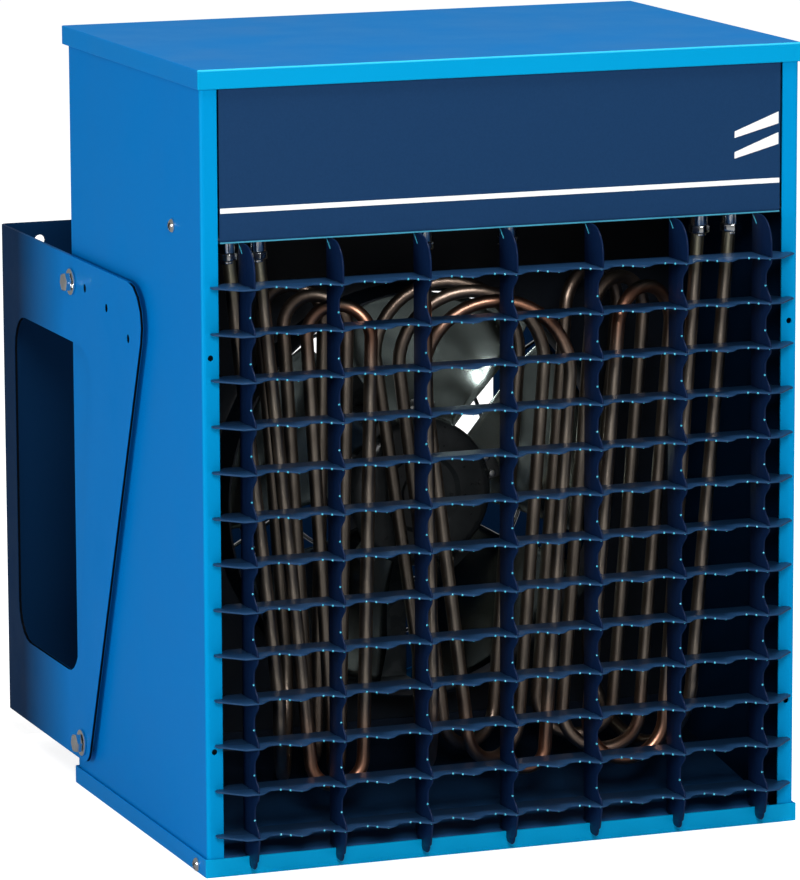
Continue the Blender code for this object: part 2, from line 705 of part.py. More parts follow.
def make_impeller():
    """A pressed hub with riveted blades on its shaft; the origin is on the fan's axis."""
    centre = Vector((0, FRONT + HUB_MIDDLE_DEPTH, FAN_HEIGHT))
    half = HUB_LENGTH / 2
    bore = SHAFT_RADIUS + FIT
    profile = [(bore, half), (HUB_RADIUS - 0.006, half), (HUB_RADIUS, half - 0.006), (HUB_RADIUS, -half),
               (HUB_RADIUS - 0.003, -half), (HUB_RADIUS - 0.003, half - 0.008), (0.014, half - 0.008),
               (0.014, -half), (bore, -half)]
    impeller = turned("fan_impeller", profile, centre, (0, -1, 0), ALUMINIUM, 30)
    for index in range(BLADES):
        blade = make_blade(f"blade_{index + 1}", centre, BLADE_START + index * math.tau / BLADES)
        cut(impeller, blade, "UNION")


def make_blade(name, centre, middle_angle):
    """A twisted sheet blade from inside the hub's rim out to the tip."""
    bm = bmesh.new()
    bmesh.ops.create_grid(bm, x_segments=3, y_segments=4, size=1)
    root, tip = HUB_RADIUS - 0.0015, RING_RADIUS - BLADE_TIP_GAP
    for vert in bm.verts:
        across, along = vert.co.x, (vert.co.y + 1) / 2
        radius = root + (tip - root) * along
        span = BLADE_SPAN * (BLADE_ROOT_SHARE + (1 - BLADE_ROOT_SHARE) * along)
        angle = middle_angle + across * span / 2
        pitch = BLADE_PITCH * (1 - BLADE_UNTWIST * along)
        rise = across * span / 2 * radius * math.tan(pitch)
        camber = BLADE_CAMBER * (1 - across * across)
        vert.co = (radius * math.cos(angle), camber - rise * min(1, HUB_RADIUS / radius * BLADE_FLATTEN),
                   radius * math.sin(angle))
    bm.transform(Matrix.Translation(centre))
    blade = hide(add_object(name, mesh_from(bm, name), None, CUTTERS))
    solidify = blade.modifiers.new("sheet", "SOLIDIFY")
    solidify.thickness = BLADE_SHEET
    solidify.offset = 0
    return blade


def make_motor():
    """The motor, its shaft, and the strap that carries it behind the fan's opening."""
    shaft_front = HUB_MIDDLE_DEPTH - HUB_LENGTH / 2 - 0.006
    bearing = 0.010
    shaft_length = MOTOR_FRONT + bearing - shaft_front
    turned("motor_shaft", [(0, 0), (SHAFT_RADIUS, 0), (SHAFT_RADIUS, -shaft_length), (0, -shaft_length)],
           (0, FRONT + shaft_front, FAN_HEIGHT), (0, -1, 0), ZINC, 16)
    rim = MOTOR_RADIUS
    nose = 0.018
    profile = [(SHAFT_RADIUS + FIT, 0), (nose, 0), (nose, -0.008), (rim - 0.006, -0.012), (rim, -0.020),
               (rim, 0.006 - MOTOR_LENGTH), (rim - 0.008, -MOTOR_LENGTH), (0, -MOTOR_LENGTH),
               (0, -bearing - FIT), (SHAFT_RADIUS + FIT, -bearing - FIT)]
    turned("fan_motor", profile + profile[:1], (0, FRONT + MOTOR_FRONT, FAN_HEIGHT), (0, -1, 0), BLACK, 24)
    back = FRONT + MOTOR_FRONT + MOTOR_LENGTH + FIT + SHEET / 2
    seat = FRONT + FAN_PLATE_DEPTH + SHEET + FIT + SHEET / 2
    reach = STRAP_REACH
    path = [(seat, FAN_HEIGHT - reach - STRAP_FOOT), (seat, FAN_HEIGHT - reach), (back, FAN_HEIGHT - reach),
            (back, FAN_HEIGHT + reach), (seat, FAN_HEIGHT + reach), (seat, FAN_HEIGHT + reach + STRAP_FOOT)]
    folded_sheet("motor_strap", path, -STRAP_WIDTH / 2, STRAP_WIDTH / 2, SHEET, FACING_SIDE, ZINC)


def make_guard():
    """The wire guard over the inlet: rings on wires that run out from a middle disc, on the back panel."""
    outer = INLET_RADIUS + GUARD_LAP
    centre = Vector((0, BACK_PANEL_REAR + FIT + GUARD_WIRE, FAN_HEIGHT))
    pieces = []
    for index in range(GUARD_RINGS):
        radius = outer * (index + 1) / GUARD_RINGS
        points = [centre + Vector((x, 0, z)) for x, z in circle(0, 0, radius, 9 + 4 * index)]
        pieces.append(as_mesh(tube(f"guard_ring_{index + 1}", points, GUARD_WIRE, ZINC, 0, True)))
    for index in range(GUARD_WIRES):
        angle = math.tau * (index + 0.5) / GUARD_WIRES
        way = Vector((math.cos(angle), 0, math.sin(angle)))
        inner = GUARD_DISC_RADIUS - 3 * GUARD_WIRE
        wire = tube(f"guard_wire_{index + 1}", [centre + way * inner, centre + way * outer],
                    GUARD_WIRE * 0.93, ZINC, 0)
        pieces.append(as_mesh(wire))
    pieces.append(rod_cutter("guard_disc", centre, (0, 1, 0), GUARD_DISC_RADIUS, 2 * GUARD_WIRE, 20))
    guard = pieces.pop(GUARD_RINGS - 1)
    guard.name = "rear_guard"
    guard.data.name = "rear_guard"
    for piece in pieces:
        piece.users_collection[0].objects.unlink(piece)
        CUTTERS.objects.link(piece)
        cut(guard, hide(piece), "UNION")


def arm_outline(shift=0.0):
    """The bracket's outline from the side, as (y, z)."""
    rear = BRACKET_REAR + shift
    corners = [(rear, BRACKET_BOTTOM), (rear, BRACKET_TOP), (REAR - ARM_TOP_REACH, BRACKET_TOP),
               (REAR - ARM_BOTTOM_REACH, BRACKET_BOTTOM)]
    return rounded(corners, [0, 0, ARM_TOP_RADIUS, ARM_BOTTOM_RADIUS], 5)


def index_place(step):
    """Where an index hole lies, as (y, z), on its arc about the pivot."""
    angle = INDEX_START - INDEX_STEPS[step]
    return (PIVOT_Y + INDEX_RADIUS * math.sin(angle), PIVOT_HEIGHT + INDEX_RADIUS * math.cos(angle))


def make_bracket():
    middle = ARM_INSIDE + BRACKET_SHEET / 2
    back = BRACKET_REAR - BRACKET_SHEET / 2
    front = REAR - ARM_TOP_REACH
    path = [(-middle, front), (-middle, back), (middle, back), (middle, front)]
    bracket = folded_sheet("wall_bracket", path, BRACKET_BOTTOM - 0.002, BRACKET_TOP + 0.002, BRACKET_SHEET,
                           FLAT, BLUE, 2 * BRACKET_SHEET)
    wide = ARM_OUTSIDE + BRACKET_SHEET
    cut(bracket, prism_cutter("arm_shape", [arm_outline(BRACKET_SHEET)], -wide, wide, FACING_SIDE), "INTERSECT")
    window = rounded([(REAR + WINDOW_REAR, WINDOW_BOTTOM), (REAR + WINDOW_REAR, WINDOW_TOP),
                      (REAR - WINDOW_TOP_REACH, WINDOW_TOP), (REAR - WINDOW_BOTTOM_REACH, WINDOW_BOTTOM)],
                     WINDOW_RADIUS, 5)
    holes = [circle(PIVOT_Y, PIVOT_HEIGHT, BOLT_RADIUS + FIT)]
    holes += [circle(*index_place(0), BOLT_RADIUS + FIT)]
    holes += [circle(*index_place(step), INDEX_HOLE_RADIUS, 12) for step in range(1, len(INDEX_STEPS))]
    cut(bracket, prism_cutter("arm_openings", [window] + holes, -wide, wide, FACING_SIDE))
    half = BACK_WINDOW_HALF
    back_bottom = WINDOW_BOTTOM + BACK_WINDOW_RISE
    back_window = rounded([(-half, back_bottom), (half, back_bottom), (half, WINDOW_TOP),
                           (-half, WINDOW_TOP)], WINDOW_RADIUS, 5)
    bolts = [circle(side * WALL_HOLE_SIDE, height, WALL_HOLE_RADIUS, 12) for side in (-1, 1)
             for height in (BRACKET_BOTTOM + WALL_HOLE_INSET, BRACKET_TOP - WALL_HOLE_INSET)]
    through = 2 * BRACKET_SHEET
    cut(bracket, prism_cutter("back_openings", [back_window] + bolts, -back - through, -back + through,
                              FACING_FRONT))


def hex_bolt(name, side, place, inside, material=ZINC):
    """A hexagon bolt whose head is outside; its shank ends at the given distance from the middle plane."""
    head_inner = ARM_OUTSIDE + FIT + WASHER_SHEET + FIT
    head_radius = BOLT_HEAD_FLATS / 2 / math.cos(math.pi / 6)
    bm = bmesh.new()
    bmesh.ops.create_cone(bm, cap_ends=True, segments=6, radius1=head_radius, radius2=head_radius,
                          depth=BOLT_HEAD_HEIGHT)
    bmesh.ops.translate(bm, verts=bm.verts, vec=(0, 0, head_inner + BOLT_HEAD_HEIGHT / 2))
    obj = add_object(name, mesh_from(bm, name), material)
    length = head_inner + BOLT_HEAD_HEIGHT / 2 - inside
    shank = rod_cutter(f"{name}_shank", (0, 0, inside + length / 2), (0, 0, 1), BOLT_RADIUS, length, 16)
    turn = Matrix.Translation((0, *place)) @ Matrix.Rotation(side * math.pi / 2, 4, "Y")
    obj.matrix_world = turn
    shank.matrix_world = turn
    cut(obj, shank, "UNION")
    return obj


def disc_with_bore(name, side, place, inside, outside, radius, material=ZINC):
    bore = BOLT_RADIUS + FIT
    profile = [(bore, outside), (radius, outside), (radius, inside), (bore, inside)]
    return turned(name, profile, (0, *place), (side, 0, 0), material, 20)


def make_bracket_fasteners():
    pivot = (PIVOT_Y, PIVOT_HEIGHT)
    index = index_place(0)
    for word, side in (("left", -1), ("right", 1)):
        hex_bolt(f"pivot_bolt_{word}", side, pivot, INNER - PIVOT_BOLT_INSIDE)
        hex_bolt(f"index_bolt_{word}", side, index, HALF + FIT)
        for kind, place in (("pivot", pivot), ("index", index)):
            disc_with_bore(f"{kind}_washer_{word}", side, place, ARM_OUTSIDE + FIT,
                           ARM_OUTSIDE + FIT + WASHER_SHEET, WASHER_RADIUS)
        disc_with_bore(f"pivot_spacer_{word}", side, pivot, HALF + FIT, ARM_INSIDE - FIT, SPACER_RADIUS, BLACK)


def make_controls():
    make_knob("selector", SELECTOR_DEPTH, SWITCH_SIZE, CREAM)
    make_knob("thermostat", THERMOSTAT_DEPTH, THERMOSTAT_SIZE, ALUMINIUM)
    make_cutout()
    make_gland()
    make_compartment_parts()


def make_knob(word, depth, size, body_material):
    """A knob with a pointer wing outside, its stem through the side, and the switch or thermostat inside."""
    place = Vector((HALF, FRONT + depth, CONTROL_HEIGHT))
    stem_end = INNER - FIT - STEM_DEPTH - HALF
    profile = [(0, KNOB_LENGTH), (KNOB_RADIUS - 0.004, KNOB_LENGTH), (KNOB_RADIUS - 0.002, KNOB_LENGTH - 0.002),
               (KNOB_RADIUS, FIT), (KNOB_STEM_RADIUS, FIT), (KNOB_STEM_RADIUS, stem_end), (0, stem_end)]
    turned(f"{word}_knob", profile, place, (1, 0, 0), BLACK, 20)
    body = box_object(f"{word}_body", size, (INNER - FIT - size[0] / 2, place.y, place.z), body_material)
    socket = (INNER - FIT - STEM_DEPTH / 2, place.y, place.z)
    cut(body, rod_cutter(f"{word}_socket", socket, (1, 0, 0), KNOB_STEM_RADIUS + FIT, STEM_DEPTH + 2 * FIT, 16))


def make_cutout():
    """The overheat cut-out inside and its reset button, which slides in through the side."""
    place = Vector((HALF, FRONT + RESET_DEPTH, CONTROL_HEIGHT))
    bore = BUTTON_RADIUS + FIT
    inside = INNER - FIT - HALF
    seat = inside - BUTTON_TRAVEL - 0.006
    profile = [(bore, inside), (CUTOUT_RADIUS, inside), (CUTOUT_RADIUS, inside - CUTOUT_LENGTH),
               (0, inside - CUTOUT_LENGTH), (0, seat), (bore, seat)]
    turned("overheat_cutout", profile + profile[:1], place, (1, 0, 0), CREAM, 20)
    end = seat + BUTTON_TRAVEL + FIT
    button = [(0, BUTTON_PROUD), (BUTTON_RADIUS - 0.001, BUTTON_PROUD), (BUTTON_RADIUS, BUTTON_PROUD - 0.001),
              (BUTTON_RADIUS, end), (0, end)]
    turned("reset_button", button, place, (1, 0, 0), RED, 20)


def make_gland():
    place = (GLAND_SIDE, BACK_PANEL_REAR, CONTROL_HEIGHT)
    inner = -SHEET - GLAND_INSIDE
    profile = [(GLAND_BORE, GLAND_LENGTH), (GLAND_BORE + GLAND_WALL, GLAND_LENGTH), (GLAND_FLANGE - SHEET, GLAND_SHOULDER),
               (GLAND_FLANGE, GLAND_FLANGE_HEIGHT), (GLAND_FLANGE, FIT), (GLAND_RADIUS, FIT), (GLAND_RADIUS, inner),
               (GLAND_BORE, inner)]
    turned("cable_gland", profile, place, (0, 1, 0), BLACK, 18)


def make_compartment_parts():
    for name, size, (x, depth), material in (("terminal_block", TERMINAL_SIZE, TERMINAL_PLACE, CREAM),
                                             ("contactor", CONTACTOR_SIZE, CONTACTOR_PLACE, CREAM)):
        place = (x, FRONT + depth + size[1] / 2, FLOOR_TOP + FIT + size[2] / 2)
        box_object(name, size, place, material)


make_casing()
make_grille()
make_elements()
make_air_guide()
make_fan()
make_bracket()
make_bracket_fasteners()
make_controls()
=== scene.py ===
import math

import bmesh
import bpy
from mathutils import Matrix, Vector


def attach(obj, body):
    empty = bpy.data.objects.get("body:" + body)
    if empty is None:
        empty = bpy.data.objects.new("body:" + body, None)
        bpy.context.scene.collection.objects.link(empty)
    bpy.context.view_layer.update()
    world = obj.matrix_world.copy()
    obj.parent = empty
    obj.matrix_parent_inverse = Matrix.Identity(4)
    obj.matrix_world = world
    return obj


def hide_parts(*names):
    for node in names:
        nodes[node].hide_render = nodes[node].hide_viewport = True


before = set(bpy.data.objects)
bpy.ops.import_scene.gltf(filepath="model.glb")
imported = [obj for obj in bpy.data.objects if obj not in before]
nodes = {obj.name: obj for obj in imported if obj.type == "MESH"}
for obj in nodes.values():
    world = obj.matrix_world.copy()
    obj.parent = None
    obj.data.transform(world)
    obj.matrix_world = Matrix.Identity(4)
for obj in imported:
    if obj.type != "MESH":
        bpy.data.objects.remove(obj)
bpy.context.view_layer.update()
bpy.ops.object.select_all(action="DESELECT")

# Planes of the casing that many pieces are set against, in metres
casing = {"half": 0.228, "front": -0.153, "rear": 0.153, "sheet": 0.0015, "fit": 0.0003,
          "coverFace": -0.1522, "coverBottom": 0.4542, "trayLip": 0.0135, "floorUnder": 0.4557,
          "fanHeight": 0.2325, "opening": 0.2155}


# Modelling helpers

def alone(piece):
    if bpy.context.mode != "OBJECT":
        bpy.ops.object.mode_set(mode="OBJECT")
    bpy.ops.object.select_all(action="DESELECT")
    piece.select_set(True)
    bpy.context.view_layer.objects.active = piece


def named(name):
    piece = bpy.context.object
    piece.name = name
    piece.data.name = name
    return piece


def pick(test):
    # in edit mode: selects the vertices whose places pass the test, and nothing else
    bpy.ops.mesh.select_mode(type="VERT")
    bpy.ops.mesh.select_all(action="DESELECT")
    for vert in bmesh.from_edit_mesh(bpy.context.object.data).verts:
        if test(vert.co):
            vert.select_set(True)
    bmesh.update_edit_mesh(bpy.context.object.data)


def applied(piece, kind, **settings):
    modifier = piece.modifiers.new(kind.lower(), kind)
    for key, value in settings.items():
        setattr(modifier, key, value)
    alone(piece)
    bpy.ops.object.modifier_apply(modifier=modifier.name)
    return piece


def rounded(piece, width, degrees):
    # rounds the edges whose faces meet at more than the given angle
    return applied(piece, "BEVEL", width=width, segments=2, limit_method="ANGLE", angle_limit=math.radians(degrees))


def settled(piece, turn=None):
    # puts the piece's place into its mesh, so that its object sits at the origin
    if turn is not None:
        piece.matrix_world = turn @ piece.matrix_world
    alone(piece)
    bpy.ops.object.transform_apply(location=True, rotation=True, scale=True)
    return piece


def facing(place, axis, spin=0.0):
    # the turn that stands a piece modelled upright at the origin at a place, along an axis
    lean = Vector((0, 0, 1)).rotation_difference(Vector(axis)).to_matrix().to_4x4()
    return Matrix.Translation(place) @ lean @ Matrix.Rotation(spin, 4, "Z")


# stands a piece modelled upright on the casing's right side, its own X towards the back
sideways = Matrix(((0, 0, 1, 0), (1, 0, 0, 0), (0, 1, 0, 0), (0, 0, 0, 1)))


def dropped(*pieces):
    for piece in pieces:
        bpy.data.objects.remove(piece, do_unlink=True)


def copied(piece, name, turn):
    twin = bpy.data.objects.new(name, piece.data.copy())
    twin.data.name = name
    bpy.context.collection.objects.link(twin)
    twin.data.transform(turn)
    twin.data.update()
    return twin


def joined(pieces, name):
    alone(pieces[0])
    for piece in pieces:
        piece.select_set(True)
    bpy.ops.object.join()
    return named(name)


def smoothed(piece, degrees=35):
    alone(piece)
    bpy.ops.object.shade_smooth_by_angle(angle=math.radians(degrees))
    return piece


def facedOut():
    # in edit mode: turns every face outwards, and goes back to object mode
    bpy.ops.mesh.select_all(action="SELECT")
    bpy.ops.mesh.normals_make_consistent(inside=False)
    bpy.ops.object.mode_set(mode="OBJECT")


def lathed(name, profile, sides=48, fill="NGON"):
    # a turned form, built upwards from a disc or a bare ring by extruding and scaling it along (radius, height)
    radius, height = profile[0]
    bpy.ops.mesh.primitive_circle_add(vertices=sides, radius=radius, fill_type=fill, location=(0, 0, height))
    piece = settled(named(name))
    bpy.ops.object.mode_set(mode="EDIT")
    bpy.ops.mesh.select_mode(type="FACE" if fill == "NGON" else "EDGE")
    bpy.ops.mesh.select_all(action="SELECT")
    for newRadius, newHeight in profile[1:]:
        bpy.ops.mesh.extrude_region_move(TRANSFORM_OT_translate={"value": (0, 0, newHeight - height)})
        ratio = newRadius / radius
        bpy.ops.transform.resize(value=(ratio, ratio, 1), center_override=(0, 0, newHeight))
        radius, height = newRadius, newHeight
    facedOut()
    return piece


def block(name, size, place, bevel=0.0, segments=2):
    bpy.ops.mesh.primitive_cube_add(size=1, location=place, scale=size)
    piece = settled(named(name))
    if bevel:
        applied(piece, "BEVEL", width=bevel, segments=segments)
    return piece


def fromCurve(name, points, closed, weld, **settings):
    # runs a curve with the given settings through the points and makes it a welded mesh, left in edit mode
    curve = bpy.data.curves.new(name, "CURVE")
    for key, value in settings.items():
        setattr(curve, key, value)
    spline = curve.splines.new("POLY")
    spline.points.add(len(points) - 1)
    for point, place in zip(spline.points, points):
        point.co = (*place, 1)
    spline.use_cyclic_u = closed
    piece = bpy.data.objects.new(name, curve)
    bpy.context.collection.objects.link(piece)
    alone(piece)
    bpy.ops.object.convert(target="MESH")
    piece = named(name)
    bpy.ops.object.mode_set(mode="EDIT")
    bpy.ops.mesh.select_all(action="SELECT")
    bpy.ops.mesh.remove_doubles(threshold=weld)
    return piece


def bentTube(name, points, radius, roundness):
    piece = fromCurve(name, points, False, 0.00001, dimensions="3D", bevel_depth=radius,
                      bevel_resolution=roundness, use_fill_caps=True)
    bpy.ops.object.mode_set(mode="OBJECT")
    return smoothed(piece, 50)


def flatSheet(name, outline, thickness, edge, turn):
    # a blanked sheet with softened edges: the outline is a flat curve, made a mesh before it is placed
    piece = fromCurve(name, [(*point, 0) for point in outline], True, 0.000005, dimensions="2D", fill_mode="BOTH",
                      extrude=thickness / 2 - edge, bevel_depth=edge, bevel_resolution=1, offset=-edge)
    facedOut()
    piece.data.transform(turn)
    return smoothed(piece, 50)


# Material helpers

def colour(code):
    # an sRGB hex code as linear red, green, blue and alpha
    parts = [int(code[i:i + 2], 16) / 255 for i in (1, 3, 5)]
    return (*[c / 12.92 if c <= 0.04045 else ((c + 0.055) / 1.055) ** 2.4 for c in parts], 1.0)


def addNode(material, kind, settings=None, links=None):
    tree = material.node_tree
    node = tree.nodes.new("ShaderNode" + kind)
    for key, value in (settings or {}).items():
        if key in node.inputs:
            node.inputs[key].default_value = value
        else:
            setattr(node, key, value)
    for key, source in (links or {}).items():
        tree.links.new(source, node.inputs[key])
    return node


def startMaterial(name, **sockets):
    material = bpy.data.materials.new(name)
    material.use_nodes = True
    for key, value in sockets.items():
        material.node_tree.nodes["Principled BSDF"].inputs[key.replace("_", " ")].default_value = value
    return material


def intoShader(material, socket, source):
    material.node_tree.links.new(source, material.node_tree.nodes["Principled BSDF"].inputs[socket])
    return source


def perMetre(millimetres):
    # a noise or Voronoi scale whose cells are this many millimetres across
    return 1000 / millimetres


def noiseOver(material, cell, detail, stretch=(1, 1, 1)):
    where = addNode(material, "TexCoord").outputs["Object"]
    grain = addNode(material, "Mapping", {"Scale": stretch}, {"Vector": where}).outputs["Vector"]
    noise = addNode(material, "TexNoise", {"Scale": perMetre(cell), "Detail": detail}, {"Vector": grain})
    return noise.outputs["Fac"]


def mottled(material, low, high, cell, detail=4.0):
    # lets the colour wander between two tones over patches of the given size in millimetres
    ramp = addNode(material, "MixRGB", {"Color1": colour(low), "Color2": colour(high)},
                   {"Fac": noiseOver(material, cell, detail)})
    return intoShader(material, "Base Color", ramp.outputs["Color"])


def roughened(material, low, high, cell):
    span = addNode(material, "MapRange", {"From Min": 0.3, "From Max": 0.7, "To Min": low, "To Max": high},
                   {"Value": noiseOver(material, cell, 5.0)})
    intoShader(material, "Roughness", span.outputs["Result"])


def bumped(material, cell, height, stretch=(1, 1, 1)):
    # a surface grain: cells in millimetres across, height in millimetres
    bump = addNode(material, "Bump", {"Strength": 1.0, "Distance": height / 1000},
                   {"Height": noiseOver(material, cell, 2.0, stretch)})
    intoShader(material, "Normal", bump.outputs["Normal"])


def surface(name, tones, cell, rough, roughCell, grain, detail=4.0, stretch=(1, 1, 1), **sockets):
    # two wandering tones, an uneven gloss and a fine grain: gives the material and the socket with its colour
    material = startMaterial(name, **sockets)
    roughened(material, *rough, roughCell)
    bumped(material, *grain, stretch)
    return material, mottled(material, *tones, cell, detail)


def placed(material, axis, start, end, low=0.0, high=1.0, mirrored=False):
    # how far a place lies between two planes across an axis, for finishes that change over the piece
    where = addNode(material, "TexCoord").outputs["Object"]
    value = addNode(material, "SeparateXYZ", {}, {"Vector": where}).outputs[axis]
    if mirrored:
        value = addNode(material, "Math", {"operation": "ABSOLUTE"}, {"Value": value}).outputs[0]
    span = addNode(material, "MapRange", {"From Min": start, "From Max": end, "To Min": low, "To Max": high},
                   {"Value": value})
    return span.outputs["Result"]


def combined(owner, operation, *sources):
    # multiplies the sources, or takes the largest: each is a socket or a number
    result = sources[0]
    for source in sources[1:]:
        node = addNode(owner, "Math", {"operation": operation})
        for place, value in enumerate((result, source)):
            if isinstance(value, (int, float)):
                node.inputs[place].default_value = value
            else:
                owner.node_tree.links.new(value, node.inputs[place])
        result = node.outputs[0]
    return result


def blended(material, base, code, *amounts):
    # lays a second colour over the first, by the product of the given amounts
    amount = combined(material, "MULTIPLY", *amounts)
    over = addNode(material, "MixRGB", {"Color2": colour(code)}, {"Fac": amount, "Color1": base})
    return intoShader(material, "Base Color", over.outputs["Color"])


# Materials

def enamel(name, specular, tones, cell, rough, roughCell=60, peel=(1.6, 0.05), detail=4.0):
    # stoved enamel on sheet steel: glassy, with an orange peel that is drawn a little coarser than life
    return surface(name, tones, cell, rough, roughCell, peel, detail, IOR=1.5, Specular_IOR_Level=specular)


def blueEnamel():
    # stoved blue enamel: a satin gloss, lighter on the front flanges and dulled on the duct's inner faces
    material, sides = enamel("stovedBlueEnamel", 0.02, ("#0073BF", "#0077C4"), 60, (0.34, 0.46))
    base = blended(material, sides, "#008BC7", placed(material, "Y", -0.1500, -0.1518))
    blended(material, base, "#0A2440", placed(material, "X", 0.2276, 0.2270, mirrored=True),
            placed(material, "Y", -0.150, -0.148), placed(material, "Y", 0.1528, 0.1520),
            placed(material, "Z", 0.458, 0.455))
    return material


def plainBlueEnamel():
    # the same enamel on the lid, the tray and the back, which lie outside the duct: the front lips catch the light
    material, base = enamel("stovedBlueEnamelOuter", 0.04, ("#0078C2", "#007CC8"), 60, (0.34, 0.46))
    lips = placed(material, "Y", -0.1528, -0.1545)
    lit = blended(material, base, "#0095CA", lips)
    blended(material, lit, "#3CC8F2", lips, placed(material, "Z", 0.5755, 0.5764))
    return material


def bracketEnamel():
    # the same enamel, darkened towards the wall plate by the dust drawn in, with dirt along the arms' cut edge
    material, base = enamel("dustyBlueEnamel", 0.02, ("#0072BE", "#0076C3"), 60, (0.34, 0.48), 50)
    dusty = blended(material, base, "#0A1E38", placed(material, "Y", 0.150, 0.270, 0.0, 0.95))
    blended(material, dusty, "#06090D", placed(material, "X", 0.2321, 0.2323, mirrored=True),
            placed(material, "X", 0.2342, 0.2340, mirrored=True), placed(material, "Y", 0.303, 0.298),
            placed(material, "Z", 0.4079, 0.4070))
    return material


def guideEnamel():
    # the duct's sloping floor: blue near the front, browned to black towards the fan
    material, base = enamel("heatStainedBlueEnamel", 0.2, ("#1C4A7C", "#24588C"), 30, (0.38, 0.55), 40)
    blended(material, base, "#0C1420", placed(material, "Y", -0.135, -0.010, 0.1, 0.95))
    return material


def navyEnamel(name, specular, *tones):
    # the same enamel in dark blue, on the grille's strips: the uprights' coat is the deeper one
    return enamel(name, specular, tones, 25, (0.28, 0.40), 30, (1.4, 0.04))[0]


def coverEnamel():
    # the cover's dark blue is a little greyer and flatter, with an even fine grain
    return enamel("satinNavyEnamel", 0.06, ("#143357", "#193A60"), 1.5, (0.42, 0.52), 30, (1.4, 0.05), 6.0)[0]


def ductEnamel():
    # the same blue inside the duct, browned and dulled by heat and dust
    return enamel("heatDulledEnamel", 0.25, ("#0A0D10", "#0E1B2A"), 70, (0.35, 0.55), 40)[0]


def whiteLacquer():
    # screen-printed white: flat, with the faint weave of the screen
    return surface("printedWhiteInk", ("#F2F4F4", "#FAFAF8"), 3, (0.45, 0.55), 5, (0.8, 0.01), IOR=1.5)[0]


def enamelBead():
    # drops of enamel that gather on the strips' lower edges in the dip tank: thicker, glossier and paler
    material = startMaterial("dippedEnamelBead", IOR=1.5, Roughness=0.12, Coat_Weight=1.0)
    mottled(material, "#35A6C8", "#58C4DC", 3)
    return material


def enamelHem():
    # the cover's turned edge, where the enamel has drawn thin and catches the light
    material = startMaterial("thinEdgeEnamel", IOR=1.5, Roughness=0.25)
    mottled(material, "#2E7896", "#48A0BC", 30)
    return material


def zincPlate():
    # bright zinc plating on small steel parts: a cold mirror broken by fine scratches
    return surface("brightZincPlating", ("#D6DADC", "#F0F2F0"), 4, (0.10, 0.18), 3, (0.9, 0.003), Metallic=1.0)[0]


def galvanised():
    # hot-dip galvanised sheet: dull grey metal with spangles about 9 mm across
    material = startMaterial("galvanisedSheet", Metallic=1.0)
    where = addNode(material, "TexCoord").outputs["Object"]
    cells = addNode(material, "TexVoronoi", {"Scale": perMetre(9)}, {"Vector": where})
    tone = addNode(material, "SeparateColor", {}, {"Color": cells.outputs["Color"]})
    ramp = addNode(material, "MixRGB", {"Color1": colour("#6F777C"), "Color2": colour("#8F979B")},
                   {"Fac": tone.outputs["Red"]})
    intoShader(material, "Base Color", ramp.outputs["Color"])
    span = addNode(material, "MapRange", {"To Min": 0.38, "To Max": 0.6}, {"Value": tone.outputs["Green"]})
    intoShader(material, "Roughness", span.outputs["Result"])
    bumped(material, 2.0, 0.02)
    return material


def bladeAluminium():
    # rolled aluminium sheet: soft reflections drawn out along the rolling, with dust in places
    return surface("rolledAluminium", ("#5C6664", "#94A09C"), 45, (0.12, 0.22), 40, (1.2, 0.012),
                   stretch=(1, 1, 0.08), Metallic=1.0)[0]


def heaterSheath():
    # nickel-steel tube after long heat: brown oxide with a satin sheen, coppery where it runs hottest and pale
    # on the cold leads above the compartment floor
    material, base = surface("oxidisedHeaterTube", ("#92867A", "#B4A89A"), 45, (0.32, 0.40), 25, (1.5, 0.004),
                             Metallic=1.0)
    bends = combined(material, "MAXIMUM", placed(material, "Z", 0.345, 0.382), placed(material, "Z", 0.115, 0.060))
    copper = blended(material, base, "#B08068", bends, placed(material, "Y", -0.085, -0.118, 0.25),
                     placed(material, "Z", 0.402, 0.398), placed(material, "X", 0.1545, 0.151, mirrored=True))
    blended(material, copper, "#94907E", placed(material, "Z", 0.400, 0.425))
    return material


def plainPaint(name, low, high, rough):
    # moulded plastics and motor paint: an even colour with a fine moulded or sprayed grain
    return surface(name, (low, high), 6, (rough - 0.06, rough + 0.06), 6, (1.2, 0.03), IOR=1.49)[0]


finishes = {
    "blue": blueEnamel(), "outerBlue": plainBlueEnamel(), "bracket": bracketEnamel(), "guide": guideEnamel(),
    "hem": enamelHem(), "navy": navyEnamel("stovedNavyEnamel", 0.12, "#1A395C", "#214164"),
    "deepNavy": navyEnamel("stovedDeepNavyEnamel", 0.10, "#081936", "#0B1F40"), "cover": coverEnamel(),
    "duct": ductEnamel(),
    "white": whiteLacquer(), "bead": enamelBead(), "zinc": zincPlate(), "galvanised": galvanised(),
    "blade": bladeAluminium(), "sheath": heaterSheath(),
    "spider": plainPaint("blackenedSteelSpider", "#16191B", "#2A2E30", 0.32),
    "motor": plainPaint("sprayedMotorBlack", "#15181B", "#23272B", 0.45),
    "plastic": plainPaint("mouldedBlackNylon", "#0C0C0D", "#161617", 0.42),
    "cream": plainPaint("mouldedCreamPhenolic", "#CFC7B0", "#DAD3BF", 0.45),
    "red": plainPaint("mouldedRedPhenolic", "#B21A16", "#C4251D", 0.35),
}


def finished(piece, finish, body="casing", instead=None):
    # gives a new piece its material, the body it moves with, its slot, and the CAD node that it stands for
    piece.data.materials.clear()
    piece.data.materials.append(finishes[finish])
    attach(piece, body)
    if instead:
        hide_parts(instead)
    return piece


# The CAD nodes that keep their shape: their edges are eased and they get real finishes

